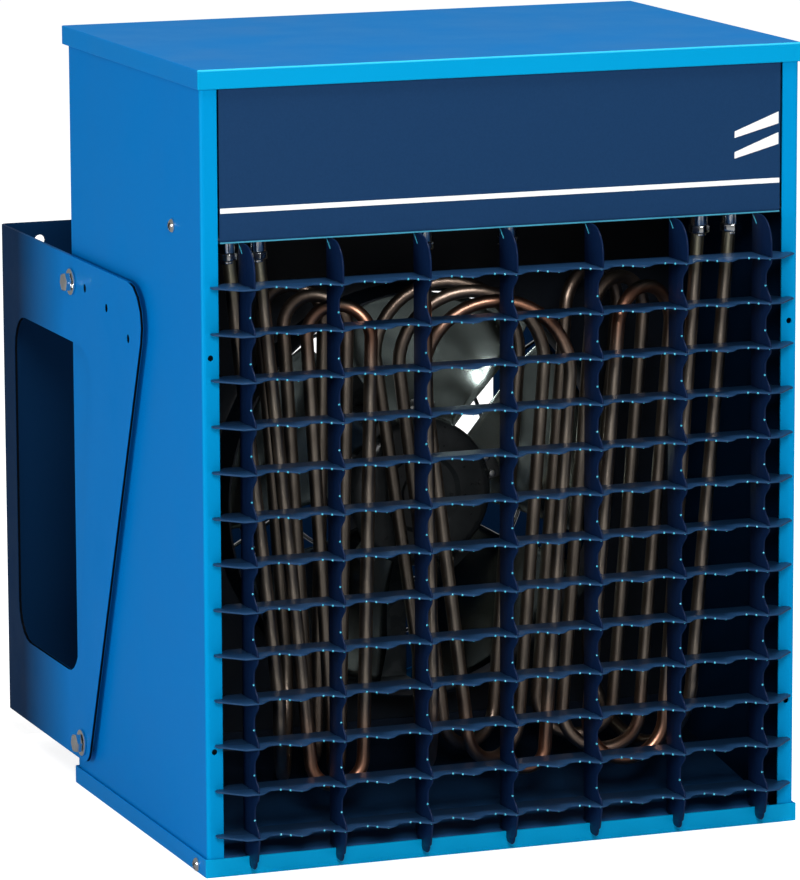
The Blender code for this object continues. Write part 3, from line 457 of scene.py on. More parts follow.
keptNodes = {
    "left_side_panel": ("blue", 0.0005), "right_side_panel": ("blue", 0.0005), "lid": ("outerBlue", 0.0007),
    "base_tray": ("outerBlue", 0.0006), "back_panel": ("outerBlue", 0.0004), "control_cover": ("cover", 0.0005),
    "compartment_floor": ("galvanised", 0.0004), "air_guide": ("guide", 0.0004), "fan_plate": ("duct", 0.0004),
    "motor_strap": ("galvanised", 0.0004), "wall_bracket": ("bracket", 0.0006),
    "index_washer_left": ("zinc", 0.0003), "index_washer_right": ("zinc", 0.0003),
    "pivot_washer_left": ("zinc", 0.0003), "pivot_washer_right": ("zinc", 0.0003),
    "pivot_spacer_left": ("plastic", 0.0003), "pivot_spacer_right": ("plastic", 0.0003),
    "terminal_block": ("cream", 0), "contactor": ("cream", 0), "selector_body": ("cream", 0),
    "thermostat_body": ("cream", 0), "overheat_cutout": ("cream", 0), "motor_shaft": ("zinc", 0.0004),
}
for nodeName, (finish, ease) in keptNodes.items():
    node = nodes[nodeName]
    node.data.materials.clear()
    node.data.materials.append(finishes[finish])
    if ease:
        weld = node.modifiers.new("weld", "WELD")
        weld.merge_threshold = 0.00001
        bevel = node.modifiers.new("easedEdge", "BEVEL")
        bevel.width = ease
        bevel.segments = 2
        bevel.limit_method = "ANGLE"
        bevel.angle_limit = math.radians(40)
print("casing sheets finished")


# Printed stripe and bars on the cover

stripe = {"height": 0.4773, "width": 0.0036, "reach": 0.2135, "proud": 0.00018, "skin": 0.0001}
ink = stripe["proud"] + stripe["skin"]
inkMiddle = casing["coverFace"] - stripe["proud"] + ink / 2
piece = block("coverStripe", (2 * stripe["reach"], ink, stripe["width"]), (0, inkMiddle, stripe["height"]),
              0.00008, 1)
finished(piece, "white")

hem = {"reach": 0.2138, "height": 0.0011, "proud": 0.0003}
piece = block("coverHem", (2 * hem["reach"], 2 * hem["proud"], hem["height"]),
              (0, casing["coverFace"], casing["coverBottom"] + hem["height"] / 2), 0.0002, 2)
finished(piece, "hem")

# two slanted bars, thinner at their lower left end
bars = {"left": 0.178, "right": 0.2125, "low": 0.497, "step": 0.015, "thick": 0.0085, "slant": 0.011, "taper": 0.55}
middle = (bars["left"] + bars["right"]) / 2
for number in (1, 2):
    piece = block(f"coverBar{number}", (bars["right"] - bars["left"], ink, bars["thick"]),
                  (middle, inkMiddle, bars["low"] + (number - 1) * bars["step"]))
    bpy.ops.object.mode_set(mode="EDIT")
    pick(lambda place: place.x > middle)
    bpy.ops.transform.translate(value=(0, 0, bars["slant"]))
    pick(lambda place: place.x < middle)
    bpy.ops.transform.resize(value=(1, 1, bars["taper"]))
    bpy.ops.object.mode_set(mode="OBJECT")
    finished(piece, "white")
print("cover printed")


# Cross-head screws

screw = {"radius": 0.0050, "height": 0.0032, "slot": 0.0015, "arm": 0.0064, "depth": 0.0022,
         "sideDepth": 0.062, "sideHeight": 0.460, "trayDepth": 0.017, "trayHeight": 0.0062, "rearReach": 0.2175,
         "rearHeights": (0.060, 0.290, 0.520), "lidPlaces": (-0.17, 0.0, 0.17), "lidOverhang": 0.009,
         "lidHeight": 0.5697}


def makeScrew():
    # one cross-shaped tool cuts the recess, because two crossing cuts came out differently from run to run
    r, h, arm, slot = screw["radius"], screw["height"], screw["arm"] / 2, screw["slot"] / 2
    head = lathed("screwPattern", [(r, 0), (r, h * 0.35), (r * 0.86, h * 0.72), (r * 0.55, h), (r * 0.2, h)], 28)
    cross = [(slot, arm), (-slot, arm), (-slot, slot), (-arm, slot), (-arm, -slot), (-slot, -slot), (-slot, -arm),
             (slot, -arm), (slot, -slot), (arm, -slot), (arm, slot), (slot, slot)]
    tool = fromCurve("crossRecess", [(*point, 0) for point in cross], True, 0.000005, dimensions="2D",
                     fill_mode="BOTH", extrude=screw["depth"])
    facedOut()
    tool.data.transform(Matrix.Translation((0, 0, h)))
    applied(head, "BOOLEAN", operation="DIFFERENCE", object=tool, solver="EXACT")
    dropped(tool)
    return smoothed(head, 30)


screwPattern = makeScrew()
half, front, rear = casing["half"], casing["front"], casing["rear"]
trayOut = half + casing["sheet"] + casing["fit"]
screwPlaces = []
for side in (-1, 1):
    screwPlaces.append(((side * half, front + screw["sideDepth"], screw["sideHeight"]), (side, 0, 0), 0.7))
    screwPlaces.append(((side * trayOut, front + screw["trayDepth"], screw["trayHeight"]), (side, 0, 0), 0.5))
    for height in screw["rearHeights"]:
        screwPlaces.append(((side * screw["rearReach"], rear, height), (0, 1, 0), height * 4))
for x in screw["lidPlaces"]:
    screwPlaces.append(((x, rear + screw["lidOverhang"], screw["lidHeight"]), (0, 1, 0), 1 + x * 5))
for number, (place, axis, spin) in enumerate(screwPlaces, 1):
    piece = copied(screwPattern, f"caseScrew{number:02d}", facing(place, axis, spin))
    finished(piece, "zinc")
dropped(screwPattern)
print("screws in place:", len(screwPlaces))


# Outlet grille: strips with a waved front edge

grille = {"pitch": 0.0328, "sheet": 0.0012, "proud": 0.024, "behind": 0.010, "wave": 0.0095, "crest": 0.005,
          "flat": 0.009, "rows": 13, "columns": 7, "drop": 0.030, "tongueLap": 0.0072, "tongue": 0.0085,
          "footLap": 0.0075, "footDepth": 0.0150, "topRadius": 0.020, "edge": 0.00032, "slopeSteps": 5,
          "easing": 0.0012}
# half the width of a wave's trough, and of the trough with both its flanks
waveLow = grille["flat"] / 2 - grille["easing"]
waveHigh = (grille["pitch"] - grille["crest"]) / 2 + grille["easing"]
# each strip has twelve waves, two between every pair of uprights
waveMiddles = [(cell + 0.5) * grille["pitch"] for cell in range(-6, 6)]


def slopeIn(start, end, fromDraw, toDraw):
    # one flank of a wave as an easy S-curve
    points = []
    for step in range(grille["slopeSteps"] + 1):
        t = step / grille["slopeSteps"]
        points.append((start + (end - start) * t, fromDraw + (toDraw - fromDraw) * t * t * (3 - 2 * t)))
    return points


def waveEdge():
    # the waved edge as (distance along, how far drawn back)
    points = []
    for middle in waveMiddles:
        points += slopeIn(middle - waveHigh, middle - waveLow, 0, grille["wave"])
        points += slopeIn(middle + waveLow, middle + waveHigh, grille["wave"], 0)
    return points


def halfLap(places, edge, depth):
    gap = grille["sheet"] / 2 + casing["fit"]
    notches = []
    for place in places:
        notches += [(place - gap, edge), (place - gap, edge + depth), (place + gap, edge + depth),
                    (place + gap, edge)]
    return notches


rowHeights = [casing["coverBottom"] - grille["drop"] - row * grille["pitch"] for row in range(grille["rows"])]
columnPlaces = [(column - (grille["columns"] - 1) / 2) * 2 * grille["pitch"] for column in range(grille["columns"])]


def acrossOutline():
    # the small steps in it ease the corners of the tongues that lap over the casing's flanges
    edge, back = front - grille["proud"], front + grille["behind"]
    tip, seat = casing["opening"] + grille["tongueLap"], front - casing["fit"]
    inside = casing["opening"] - casing["fit"]
    tongueFront, shoulder = seat - grille["tongue"], casing["opening"] - 0.0095
    waves = [(x, edge + drawn) for x, drawn in waveEdge()]
    left = [(-inside, back - 0.006), (-inside, seat), (-tip + 0.003, seat), (-tip + 0.0008, seat - 0.0006),
            (-tip, seat - 0.002), (-tip, tongueFront + 0.003), (-tip + 0.001, tongueFront + 0.0005),
            (-tip + 0.004, tongueFront - 0.0015), (-shoulder - 0.002, edge + 0.0022), (-shoulder, edge)]
    right = [(-x, y) for x, y in reversed(left)]
    laps = halfLap(columnPlaces, back, -(grille["proud"] + grille["behind"]) / 2)
    return left + waves + right + [(inside - 0.006, back)] + laps[::-1] + [(-inside + 0.006, back)]


def uprightOutline():
    # an upright has a rounded upper corner and a foot over the tray's lip
    edge, back = front - grille["proud"], front + grille["behind"]
    top = casing["coverBottom"] - casing["fit"]
    lipFront = front - casing["fit"] - casing["sheet"] - casing["fit"]
    foot, seat = casing["trayLip"] - grille["footLap"], casing["trayLip"] + casing["fit"]
    radius, middle = grille["topRadius"], (edge + back) / 2
    gap = grille["sheet"] / 2 + casing["fit"]
    points = [(edge + radius * (1 - math.cos(math.radians(a))), top - radius * (1 - math.sin(math.radians(a))))
              for a in range(90, -1, -10)]
    for height in rowHeights:
        points += [(edge, height + gap), (middle, height + gap), (middle, height - gap), (edge, height - gap)]
        below = height - grille["pitch"] / 2
        if below - waveHigh > seat - grille["easing"]:
            for start, drawnFrom, drawnTo in ((waveHigh, 0, grille["wave"]), (-waveLow, grille["wave"], 0)):
                points += [(edge + drawn, below + start - along)
                           for along, drawn in slopeIn(0, waveHigh - waveLow, drawnFrom, drawnTo)]
    tip = lipFront - grille["footDepth"]
    points += [(edge + 0.004, seat), (tip, seat - 0.002), (tip, foot + 0.0045), (tip + 0.0012, foot + 0.0022),
               (tip + 0.0032, foot + 0.0006), (tip + 0.0055, foot), (lipFront - 0.004, foot),
               (lipFront - 0.0012, foot + 0.001), (lipFront, foot + 0.003), (lipFront, seat), (back, seat), (back, top)]
    return points


beads = {"offsets": (0.0028, 0.0088, 0.0154), "radius": 0.00085, "sink": 0.0003, "drop": 0.0002,
         "uprightOffset": -0.0045}


def drawnAt(place):
    # how far the waved edge is drawn back at a distance along the strip
    pitch = grille["pitch"]
    away = abs((place / pitch) % 1 - 0.5) * pitch
    t = min(1, max(0, (away - waveLow) / (waveHigh - waveLow)))
    return grille["wave"] * (1 - t * t * (3 - 2 * t))


def strungBeads(name, places):
    made = []
    for place in places:
        bpy.ops.mesh.primitive_uv_sphere_add(segments=10, ring_count=6, radius=beads["radius"], location=place)
        made.append(settled(bpy.context.object))
    return smoothed(joined(made, name), 180)


across = flatSheet("acrossPattern", acrossOutline(), grille["sheet"], grille["edge"], Matrix.Identity(4))
edge = front - grille["proud"]
beadPlaces = []
for middle in waveMiddles:
    for offset in beads["offsets"]:
        x = middle + offset
        beadPlaces.append((x, edge + max(drawnAt(x) + beads["sink"], beads["radius"]), -beads["drop"]))
acrossBeads = strungBeads("acrossBeadPattern", beadPlaces)
for number, height in enumerate(rowHeights, 1):
    lift = Matrix.Translation((0, 0, height))
    finished(copied(across, f"stripAcross{number:02d}", lift), "navy",
             instead=f"louvre_h_{number:02d}")
    finished(copied(acrossBeads, f"stripBeads{number:02d}", lift), "bead")
dropped(across, acrossBeads)

upright = flatSheet("uprightPattern", uprightOutline(), grille["sheet"], grille["edge"], sideways)
beadPlaces = []
for height in rowHeights:
    z = height - grille["pitch"] / 2 + beads["uprightOffset"]
    if z > casing["trayLip"] + 0.008:
        beadPlaces.append((-0.0004, edge + grille["wave"] * 0.98 + beads["sink"], z))
uprightBeads = strungBeads("uprightBeadPattern", beadPlaces)
# a glint of bare enamel slants down the left side of each upright's upper corner
glint = {"thick": 0.0006, "width": 0.0010, "along": 0.0085, "fall": 0.0075}
corner = block("uprightCornerPattern", (glint["thick"], glint["width"], math.hypot(glint["along"], glint["fall"])),
               (0, 0, 0), 0.0002)
corner.data.transform(Matrix.Translation((-grille["sheet"] / 2, front + grille["behind"] - glint["along"] / 2,
                                          casing["coverBottom"] - casing["fit"] - glint["fall"] / 2))
                      @ Matrix.Rotation(-math.atan2(glint["along"], glint["fall"]), 4, "X"))
uprightBeads = joined([uprightBeads, corner], "uprightBeadPattern")
for number, place in enumerate(columnPlaces, 1):
    move = Matrix.Translation((place, 0, 0))
    finished(copied(upright, f"stripUpright{number}", move), "deepNavy",
             instead=f"louvre_v_{number:02d}")
    finished(copied(uprightBeads, f"uprightBeads{number}", move), "bead")
dropped(upright, uprightBeads)
print("grille made")


# Tubular heating elements, with their glands under the compartment floor

elements = {"radius": 0.0049, "turns": 3, "turnPitch": 0.050, "firstDepth": 0.030, "bottom": 0.051,
            "lastBottom": 0.048, "stub": 0.022, "underFloor": 0.0043, "bendSteps": 20}
# for each lead and front run, where across the heater the tube is at its lower or first end, and at the other
runs = {
    "left": {"firstLead": (-0.1766, -0.1390), "firstRun": (-0.0909, -0.0985), "secondRun": (-0.1307, -0.1128),
             "lastLead": (-0.1991, -0.1624), "top": 0.399},
    "center": {"firstLead": (0.0135, 0.0135), "firstRun": (0.0624, 0.0426), "secondRun": (-0.0418, -0.0085),
               "lastLead": (-0.0510, -0.0450), "top": 0.395},
    "right": {"firstLead": (0.1632, 0.1371), "firstRun": (0.0996, 0.0768), "secondRun": (0.1515, 0.1283),
              "lastLead": (0.1881, 0.1596), "top": 0.399},
}


def tubeRoute(run):
    depth = front + elements["firstDepth"]
    legs = [(*run["firstLead"], depth)]
    for turn in range(elements["turns"]):
        legs.append((*run["firstRun"], depth + turn * elements["turnPitch"]))
        legs.append((*run["secondRun"], depth + (turn + 0.5) * elements["turnPitch"]))
    legs.append((*run["lastLead"], depth))
    under = casing["floorUnder"] - elements["underFloor"]
    level = casing["floorUnder"] + casing["sheet"] + elements["stub"]
    points = [Vector((legs[0][0], depth, level)), Vector((legs[0][0], depth, under))]
    for index, (leg, following) in enumerate(zip(legs, legs[1:])):
        down = index % 2 == 0
        start, end = (Vector((place[1 if down else 0], place[2], 0)) for place in (leg, following))
        radius = (end - start).length / 2
        lowest = elements["lastBottom"] if index == len(legs) - 2 else elements["bottom"]
        base = lowest + radius if down else run["top"] - radius
        for step in range(elements["bendSteps"] + 1):
            angle = math.pi * step / elements["bendSteps"]
            place = (start + end) / 2 + (start - end) / 2 * math.cos(angle)
            place.z = base + (-1 if down else 1) * radius * math.sin(angle)
            points.append(place)
    return points + [Vector((legs[-1][0], depth, under)), Vector((legs[-1][0], depth, level))]


glands = {"bushRadius": 0.0068, "bushEnd": 0.4437, "nutRadius": 0.0078, "nutHeight": 0.0060, "ring": 0.0054,
          "ringHeight": 0.0018, "washer": 0.0095}


def makeGland():
    # bush, hexagon nut and clamp ring round a lead, from the floor's underside downwards
    top, step, low = casing["floorUnder"], glands["bushEnd"], glands["bushEnd"] - glands["nutHeight"]
    bush = lathed("glandBush", [(glands["bushRadius"], step), (glands["bushRadius"], top - 0.0012),
                                (glands["washer"], top - 0.0011), (glands["washer"], top - 0.0001)], 32)
    nut = lathed("glandNut", [(glands["nutRadius"] * 0.93, low), (glands["nutRadius"], low + 0.0008),
                              (glands["nutRadius"], step - 0.0008), (glands["nutRadius"] * 0.93, step)], 6)
    ring = lathed("glandRing", [(glands["ring"], low - glands["ringHeight"]), (glands["ring"], low + 0.0001)], 28)
    gland = joined([bush, nut, ring], "glandPattern")
    return smoothed(rounded(gland, 0.0003, 25), 30)


gland = makeGland()
for word, run in runs.items():
    finished(bentTube(f"heaterTube{word.capitalize()}", tubeRoute(run), elements["radius"], roundness=4),
             "sheath", instead=f"element_{word}")
    for end, lead in (("First", run["firstLead"]), ("Last", run["lastLead"])):
        move = Matrix.Translation((lead[0], front + elements["firstDepth"], 0))
        finished(copied(gland, f"leadGland{word.capitalize()}{end}", move), "zinc")
dropped(gland)
print("elements bent")


# Fan: ring, impeller, motor and rear guard

fanRing = {"radius": 0.154, "front": 0.163, "plate": 0.2005, "lip": 0.014, "sheet": 0.0015}


def onShaft(depth):
    # stands a turned form on the fan's axis at a depth, looking forwards
    return facing((0, depth, casing["fanHeight"]), (0, -1, 0))


def makeFanRing():
    # a spun inlet ring: flange on the partition and a rolled mouth towards the impeller
    r = fanRing["radius"]
    length = fanRing["plate"] - fanRing["front"] - casing["fit"]
    piece = lathed("fanRing", [(r + fanRing["lip"], 0), (r + 0.0035, 0), (r + 0.0009, 0.0008), (r, 0.003),
                               (r, length - 0.0015), (r + 0.0003, length)], 96, "NOTHING")
    applied(piece, "SOLIDIFY", thickness=fanRing["sheet"], offset=1, use_even_offset=True)
    bpy.ops.object.mode_set(mode="EDIT")
    facedOut()
    return smoothed(settled(piece, onShaft(front + fanRing["plate"] - casing["fit"])), 40)


fan = {"blades": 5, "tipGap": 0.005, "span": math.radians(68), "rootShare": 0.74, "pitch": math.radians(-22),
       "sheet": 0.0018, "start": math.radians(86), "hub": 0.056, "hubLength": 0.030, "middle": 0.181,
       "untwist": 0.35, "flatten": 1.6, "camber": 0.004, "rivet": 0.0032, "armReach": 0.068, "armSheet": 0.0022,
       "rootSink": 0.0015}
bladeRoot, bladeTip = fan["hub"] - fan["rootSink"], fanRing["radius"] - fan["tipGap"]


def bladePlace(across, along):
    # a place on a blade: across it from -1 to 1, and along it from root to tip
    radius = bladeRoot + (bladeTip - bladeRoot) * along
    span = fan["span"] * (fan["rootShare"] + (1 - fan["rootShare"]) * along)
    # the corners of the tip are drawn in by a tenth of the span
    drawnIn = 1 - 0.10 * max(0, along - 0.7) / 0.3 * abs(across) ** 6
    angle = fan["start"] + across * span / 2 * drawnIn
    rise = across * span / 2 * radius * math.tan(fan["pitch"] * (1 - fan["untwist"] * along))
    depth = fan["camber"] * (1 - across * across) - rise * min(1, fan["hub"] / radius * fan["flatten"])
    return radius * math.cos(angle), depth, radius * math.sin(angle)


def armPlace(across, along):
    # the same for a pressed steel arm, which narrows outwards over a blade's root
    reach = (fan["armReach"] - bladeRoot) / (bladeTip - bladeRoot)
    x, y, z = bladePlace(across * (0.40 - 0.08 * along), along * reach)
    return x, y - fan["sheet"] / 2 - fan["armSheet"] / 2 + 0.0002, z


def bentSheet(name, columns, rows, place, thickness, edge):
    bpy.ops.mesh.primitive_grid_add(x_subdivisions=columns, y_subdivisions=rows, size=2)
    piece = named(name)
    for vert in piece.data.vertices:
        vert.co = place(vert.co.x, (vert.co.y + 1) / 2)
    applied(piece, "SOLIDIFY", thickness=thickness, offset=0)
    return smoothed(rounded(piece, edge, 60), 35)


def makeRivets():
    rivets = []
    for across, along in ((-0.22, 0.07), (0.22, 0.07)):
        x, y, z = bladePlace(across, along)
        rivet = lathed("rivet", [(fan["rivet"], 0), (fan["rivet"], 0.0006), (fan["rivet"] * 0.8, 0.0016),
                                 (fan["rivet"] * 0.4, 0.0021)], 16)
        lift = y - fan["sheet"] / 2 - fan["armSheet"] + 0.0004
        rivets.append(settled(rivet, facing((x, lift, z), (0, -1, 0))))
    return joined(rivets, "rivetPattern")


def makeHub():
    r, h = fan["hub"], fan["hubLength"] / 2
    hub = lathed("fanHub", [(r - 0.002, -h), (r, -h + 0.001), (r, h - 0.007), (r - 0.001, h - 0.004),
                            (r - 0.004, h - 0.001), (r - 0.008, h), (0.030, h), (0.027, h - 0.003),
                            (0.016, h - 0.003), (0.015, h - 0.0005), (0.0068, h - 0.0005)], 72)
    return smoothed(settled(hub, facing((0, 0, 0), (0, -1, 0))), 35)


def aroundShaft(pattern, name, others=()):
    # repeats a pattern for each blade, joins what belongs with it, and puts it on the shaft
    pieces = list(others)
    for index in range(fan["blades"]):
        turn = Matrix.Rotation(index * math.tau / fan["blades"], 4, "Y")
        pieces.append(copied(pattern, f"{name}{index}", turn))
    dropped(pattern)
    whole = joined(pieces, name)
    whole.data.transform(Matrix.Translation((0, front + fan["middle"], casing["fanHeight"])))
    return smoothed(whole, 35)


motor = {"radius": 0.052, "front": 0.212, "length": 0.070, "fins": 9}


def makeMotor():
    # an external-rotor motor: ribbed barrel with rounded end bells
    r, length = motor["radius"], motor["length"]
    profile = [(r - 0.010, 0), (r - 0.004, 0.0015), (r - 0.001, 0.006)]
    finPitch = (length - 0.030) / motor["fins"]
    for index in range(motor["fins"]):
        low = 0.010 + index * finPitch
        profile += [(r - 0.003, low), (r, low + 0.0006), (r, low + finPitch * 0.45),
                    (r - 0.003, low + finPitch * 0.55)]
    profile += [(r - 0.001, length - 0.018), (r - 0.005, length - 0.011), (0.020, length - 0.008),
                (0.018, length - 0.006), (0.0175, length - 0.0005), (0.0065, length)]
    return smoothed(settled(lathed("fanMotor", profile, 64), onShaft(front + motor["front"] + length)), 30)


guard = {"wire": 0.0016, "rings": 5, "wires": 6, "disc": 0.018, "outer": 0.176, "plane": 0.1531}


def makeGuard():
    pieces = []
    for index in range(guard["rings"]):
        bpy.ops.mesh.primitive_torus_add(major_radius=guard["outer"] * (index + 1) / guard["rings"],
                                         minor_radius=guard["wire"], major_segments=48 + 12 * index,
                                         minor_segments=10)
        pieces.append(bpy.context.object)
    for index in range(guard["wires"]):
        angle = math.tau * (index + 0.5) / guard["wires"]
        way = Vector((math.cos(angle), -math.sin(angle), 0))
        pieces.append(bentTube("guardWire", [way * (guard["disc"] - 0.004), way * guard["outer"]],
                               guard["wire"] * 0.93, roundness=2))
    pieces.append(lathed("guardDisc", [(guard["disc"], -guard["wire"]), (guard["disc"], guard["wire"] * 0.5),
                                       (guard["disc"] - 0.0016, guard["wire"])], 40))
    whole = joined(pieces, "rearGuard")
    return smoothed(settled(whole, facing((0, guard["plane"], casing["fanHeight"]), (0, 1, 0))), 40)


finished(makeFanRing(), "duct", instead="fan_ring")
blade = bentSheet("bladePattern", 16, 18, bladePlace, fan["sheet"], 0.0005)
finished(aroundShaft(blade, "fanBlades"), "blade", "fan", instead="fan_impeller")
arm = bentSheet("armPattern", 6, 5, armPlace, fan["armSheet"], 0.0006)
finished(aroundShaft(arm, "fanSpider", [makeHub()]), "spider", "fan")
finished(aroundShaft(makeRivets(), "fanRivets"), "zinc", "fan")
finished(makeMotor(), "motor", instead="fan_motor")
finished(makeGuard(), "zinc", instead="rear_guard")

shaftNut = lathed("shaftNut", [(0.0085, 0), (0.0092, 0.0008), (0.0092, 0.0052), (0.0085, 0.006), (0.0050, 0.0061),
                               (0.0050, 0.0080)], 6)
settled(shaftNut, onShaft(front + fan["middle"] - fan["hubLength"] / 2 - 0.0003))
finished(smoothed(shaftNut, 25), "zinc", "fan")
print("fan made")


# Hexagon bolts of the wall bracket

bolts = {"flats": 0.013, "head": 0.0053, "seat": 0.2367, "shank": 0.004, "pivot": (0.1203, 0.0390),
         "indexRadius": 0.350, "indexAngle": math.radians(1.7), "pivotInside": 0.2145, "indexInside": 0.2283}


def makeBolt(inside):
    # the head is turned with a chamfered crown; its shank runs in to the given distance
    corner = bolts["flats"] / 2 / math.cos(math.pi / 6)
    seat, top = bolts["seat"], bolts["seat"] + bolts["head"]
    head = lathed("boltHead", [(corner * 0.95, seat), (corner, seat + 0.0004), (corner, top - 0.0014),
                               (corner * 0.86, top - 0.0002), (corner * 0.80, top)], 6)
    cap = lathed("boltCrown", [(corner * 1.02, seat - 0.0002), (corner * 1.02, top - 0.0015),
                               (corner * 0.84, top - 0.00005), (corner * 0.6, top)], 36)
    applied(head, "BOOLEAN", operation="INTERSECT", object=cap, solver="EXACT")
    dropped(cap)
    rounded(head, 0.00025, 28)
    shank = lathed("boltShank", [(bolts["shank"] * 0.8, inside), (bolts["shank"], inside + 0.0008),
                                 (bolts["shank"], seat + 0.001)], 24)
    return smoothed(joined([head, shank], "boltPattern"), 30)


def indexPlace(tilt):
    # the (depth, height) of the index hole for a tilt in degrees
    angle = bolts["indexAngle"] - math.radians(tilt)
    return (bolts["pivot"][0] + bolts["indexRadius"] * math.sin(angle),
            bolts["pivot"][1] + bolts["indexRadius"] * math.cos(angle))


for kind, place, inside, body in (("pivot", bolts["pivot"], bolts["pivotInside"], "casing"),
                                  ("index", indexPlace(0), bolts["indexInside"], "bracket")):
    pattern = makeBolt(inside)
    for word, side in (("left", -1), ("right", 1)):
        piece = copied(pattern, f"{kind}Bolt{word.capitalize()}", facing((0, *place), (side, 0, 0), 0.4 + side * 0.25))
        finished(piece, "zinc", body, instead=f"{kind}_bolt_{word}")
    dropped(pattern)

# black seals close the free index holes from behind
seals = {"radius": 0.0052, "sheet": 0.0012, "inside": 0.2308, "tilts": (5.2, 13.8, 22.5)}
for number, tilt in enumerate(seals["tilts"], 1):
    outside = seals["inside"] + seals["sheet"]
    pattern = smoothed(lathed("sealPattern", [(seals["radius"], seals["inside"]), (seals["radius"], outside - 0.0002),
                                              (seals["radius"] - 0.0002, outside)], 28), 40)
    for word, side in (("Left", -1), ("Right", 1)):
        piece = copied(pattern, f"indexSeal{word}{number}", facing((0, *indexPlace(tilt)), (side, 0, 0)))
        finished(piece, "plastic", "bracket")
    dropped(pattern)
print("bolts fitted")


# Controls on the right-hand side

knobs = {"radius": 0.021, "length": 0.018, "flutes": 18, "height": 0.517, "stem": 0.003, "stemEnd": -0.0098,
         "dialRadius": 0.0275, "dialSheet": 0.0006, "figure": 0.0048, "figureRadius": 0.0243,
         "pointer": (0.0014, 0.0075, 0.0003)}


def makeKnob(name):
    # a moulded knob: fluted skirt, drawn-in crown and a raised pointer bar
    r, length = knobs["radius"], knobs["length"]
    piece = lathed(name, [(r, casing["fit"] + knobs["dialSheet"]), (r, 0.0035), (r - 0.0015, 0.0045),
                          (r - 0.0025, length - 0.005), (r - 0.004, length - 0.0035), (r - 0.007, length - 0.003),
                          (0.006, length - 0.0028)], 4 * knobs["flutes"])
    bpy.ops.object.mode_set(mode="EDIT")
    pick(lambda place: 0.004 < place.z < length - 0.003 and place.xy.length > r - 0.005
         and round(math.atan2(place.y, place.x) / math.tau * 4 * knobs["flutes"]) % 4 in (0, 1))
    bpy.ops.transform.resize(value=(0.955, 0.955, 1), center_override=(0, 0, 0))
    bpy.ops.object.mode_set(mode="OBJECT")
    rounded(piece, 0.0003, 25)
    bar = block("pointerBar", (0.006, 2 * r - 0.006, 0.007), (0, 0, length - 0.0036), 0.0012, 3)
    stem = lathed("knobStem", [(knobs["stem"], knobs["stemEnd"]), (knobs["stem"], 0.002)], 20)
    return smoothed(joined([piece, bar, stem], name), 30)


def makeDial(name, figures, sweep, place):
    # a printed dial plate with plain figures round the knob
    plate = lathed(name, [(knobs["dialRadius"], 0), (knobs["dialRadius"], knobs["dialSheet"] * 0.6),
                          (knobs["dialRadius"] - 0.0003, knobs["dialSheet"])], 72)
    marks = []
    for index, figure in enumerate(figures):
        angle = math.radians(90 + sweep / 2 - sweep * index / (len(figures) - 1))
        way = Vector((math.cos(angle), math.sin(angle), 0))
        bpy.ops.object.text_add(location=(0, 0, 0))
        text = bpy.context.object
        text.data.body = figure
        text.data.size = knobs["figure"]
        text.data.align_x = text.data.align_y = "CENTER"
        text.data.extrude = 0.00008
        bpy.ops.object.convert(target="MESH")
        text = bpy.context.object
        lift = Vector((0, 0, knobs["dialSheet"] + 0.00003))
        text.data.transform(Matrix.Translation(way * knobs["figureRadius"] + lift))
        marks.append(text)
    marks = joined(marks, name + "Figures")
    return settled(smoothed(plate), place), settled(marks, place)


for word, depth, figures, sweep in (("selector", 0.085, ("0", "1", "2", "3"), 135),
                                    ("thermostat", 0.160, ("0", "5", "10", "15", "20", "25", "30"), 270)):
    place = Matrix.Translation((half, front + depth, knobs["height"])) @ sideways
    atZero = place @ Matrix.Rotation(math.radians(sweep / 2), 4, "Z")
    knob = settled(makeKnob(f"{word}Knob"), atZero)
    finished(knob, "plastic", word, instead=f"{word}_knob")
    line = block(f"{word}Pointer", knobs["pointer"],
                 (0, knobs["radius"] - knobs["pointer"][1], knobs["length"] - 0.00018))
    finished(settled(line, atZero), "white", word)
    plate, marks = makeDial(f"{word}Dial", figures, sweep, place)
    finished(plate, "zinc")
    finished(marks, "plastic")

button = {"depth": 0.220, "radius": 0.005, "proud": 0.006, "end": -0.0072, "collar": 0.0075, "collarRound": 0.0016}
radius, proud = button["radius"], button["proud"]
piece = lathed("resetButton", [(radius, button["end"]), (radius, proud - 0.0012), (radius - 0.0008, proud - 0.0003),
                               (radius - 0.002, proud)], 32)
settled(smoothed(piece, 40), facing((half, front + button["depth"], knobs["height"]), (1, 0, 0)))
finished(piece, "red", "reset", instead="reset_button")
bpy.ops.mesh.primitive_torus_add(major_radius=button["collar"], minor_radius=button["collarRound"],
                                 major_segments=40, minor_segments=12)
collar = settled(named("resetCollar"), facing((half + 0.0004, front + button["depth"], knobs["height"]), (1, 0, 0)))
finished(smoothed(collar, 60), "plastic")

supply = {"x": 0.150, "backFace": 0.1512}
turn = facing((supply["x"], supply["backFace"], knobs["height"]), (0, 1, 0))
hexagon = lathed("glandHex", [(0.0150, 0.0003), (0.0158, 0.0012), (0.0158, 0.0085), (0.0150, 0.0095)], 6)
dome = lathed("glandDome", [(0.0110, -0.0095), (0.0110, 0.0002), (0.0130, 0.0003), (0.0130, 0.0130), (0.0126, 0.0150),
                            (0.0118, 0.0190), (0.0104, 0.0225), (0.0090, 0.0248), (0.0078, 0.0258),
                            (0.0062, 0.0260), (0.0060, 0.0210)], 48)
piece = settled(smoothed(joined([hexagon, dome], "supplyGland"), 30), turn)
finished(piece, "plastic", instead="cable_gland")
print("controls made")


# Floor, light and camera

studio = {"floorSeen": 0.78, "floorReflected": 0.2, "worldLight": 0.20, "worldSeen": 1.0, "worldReflected": 0.24}


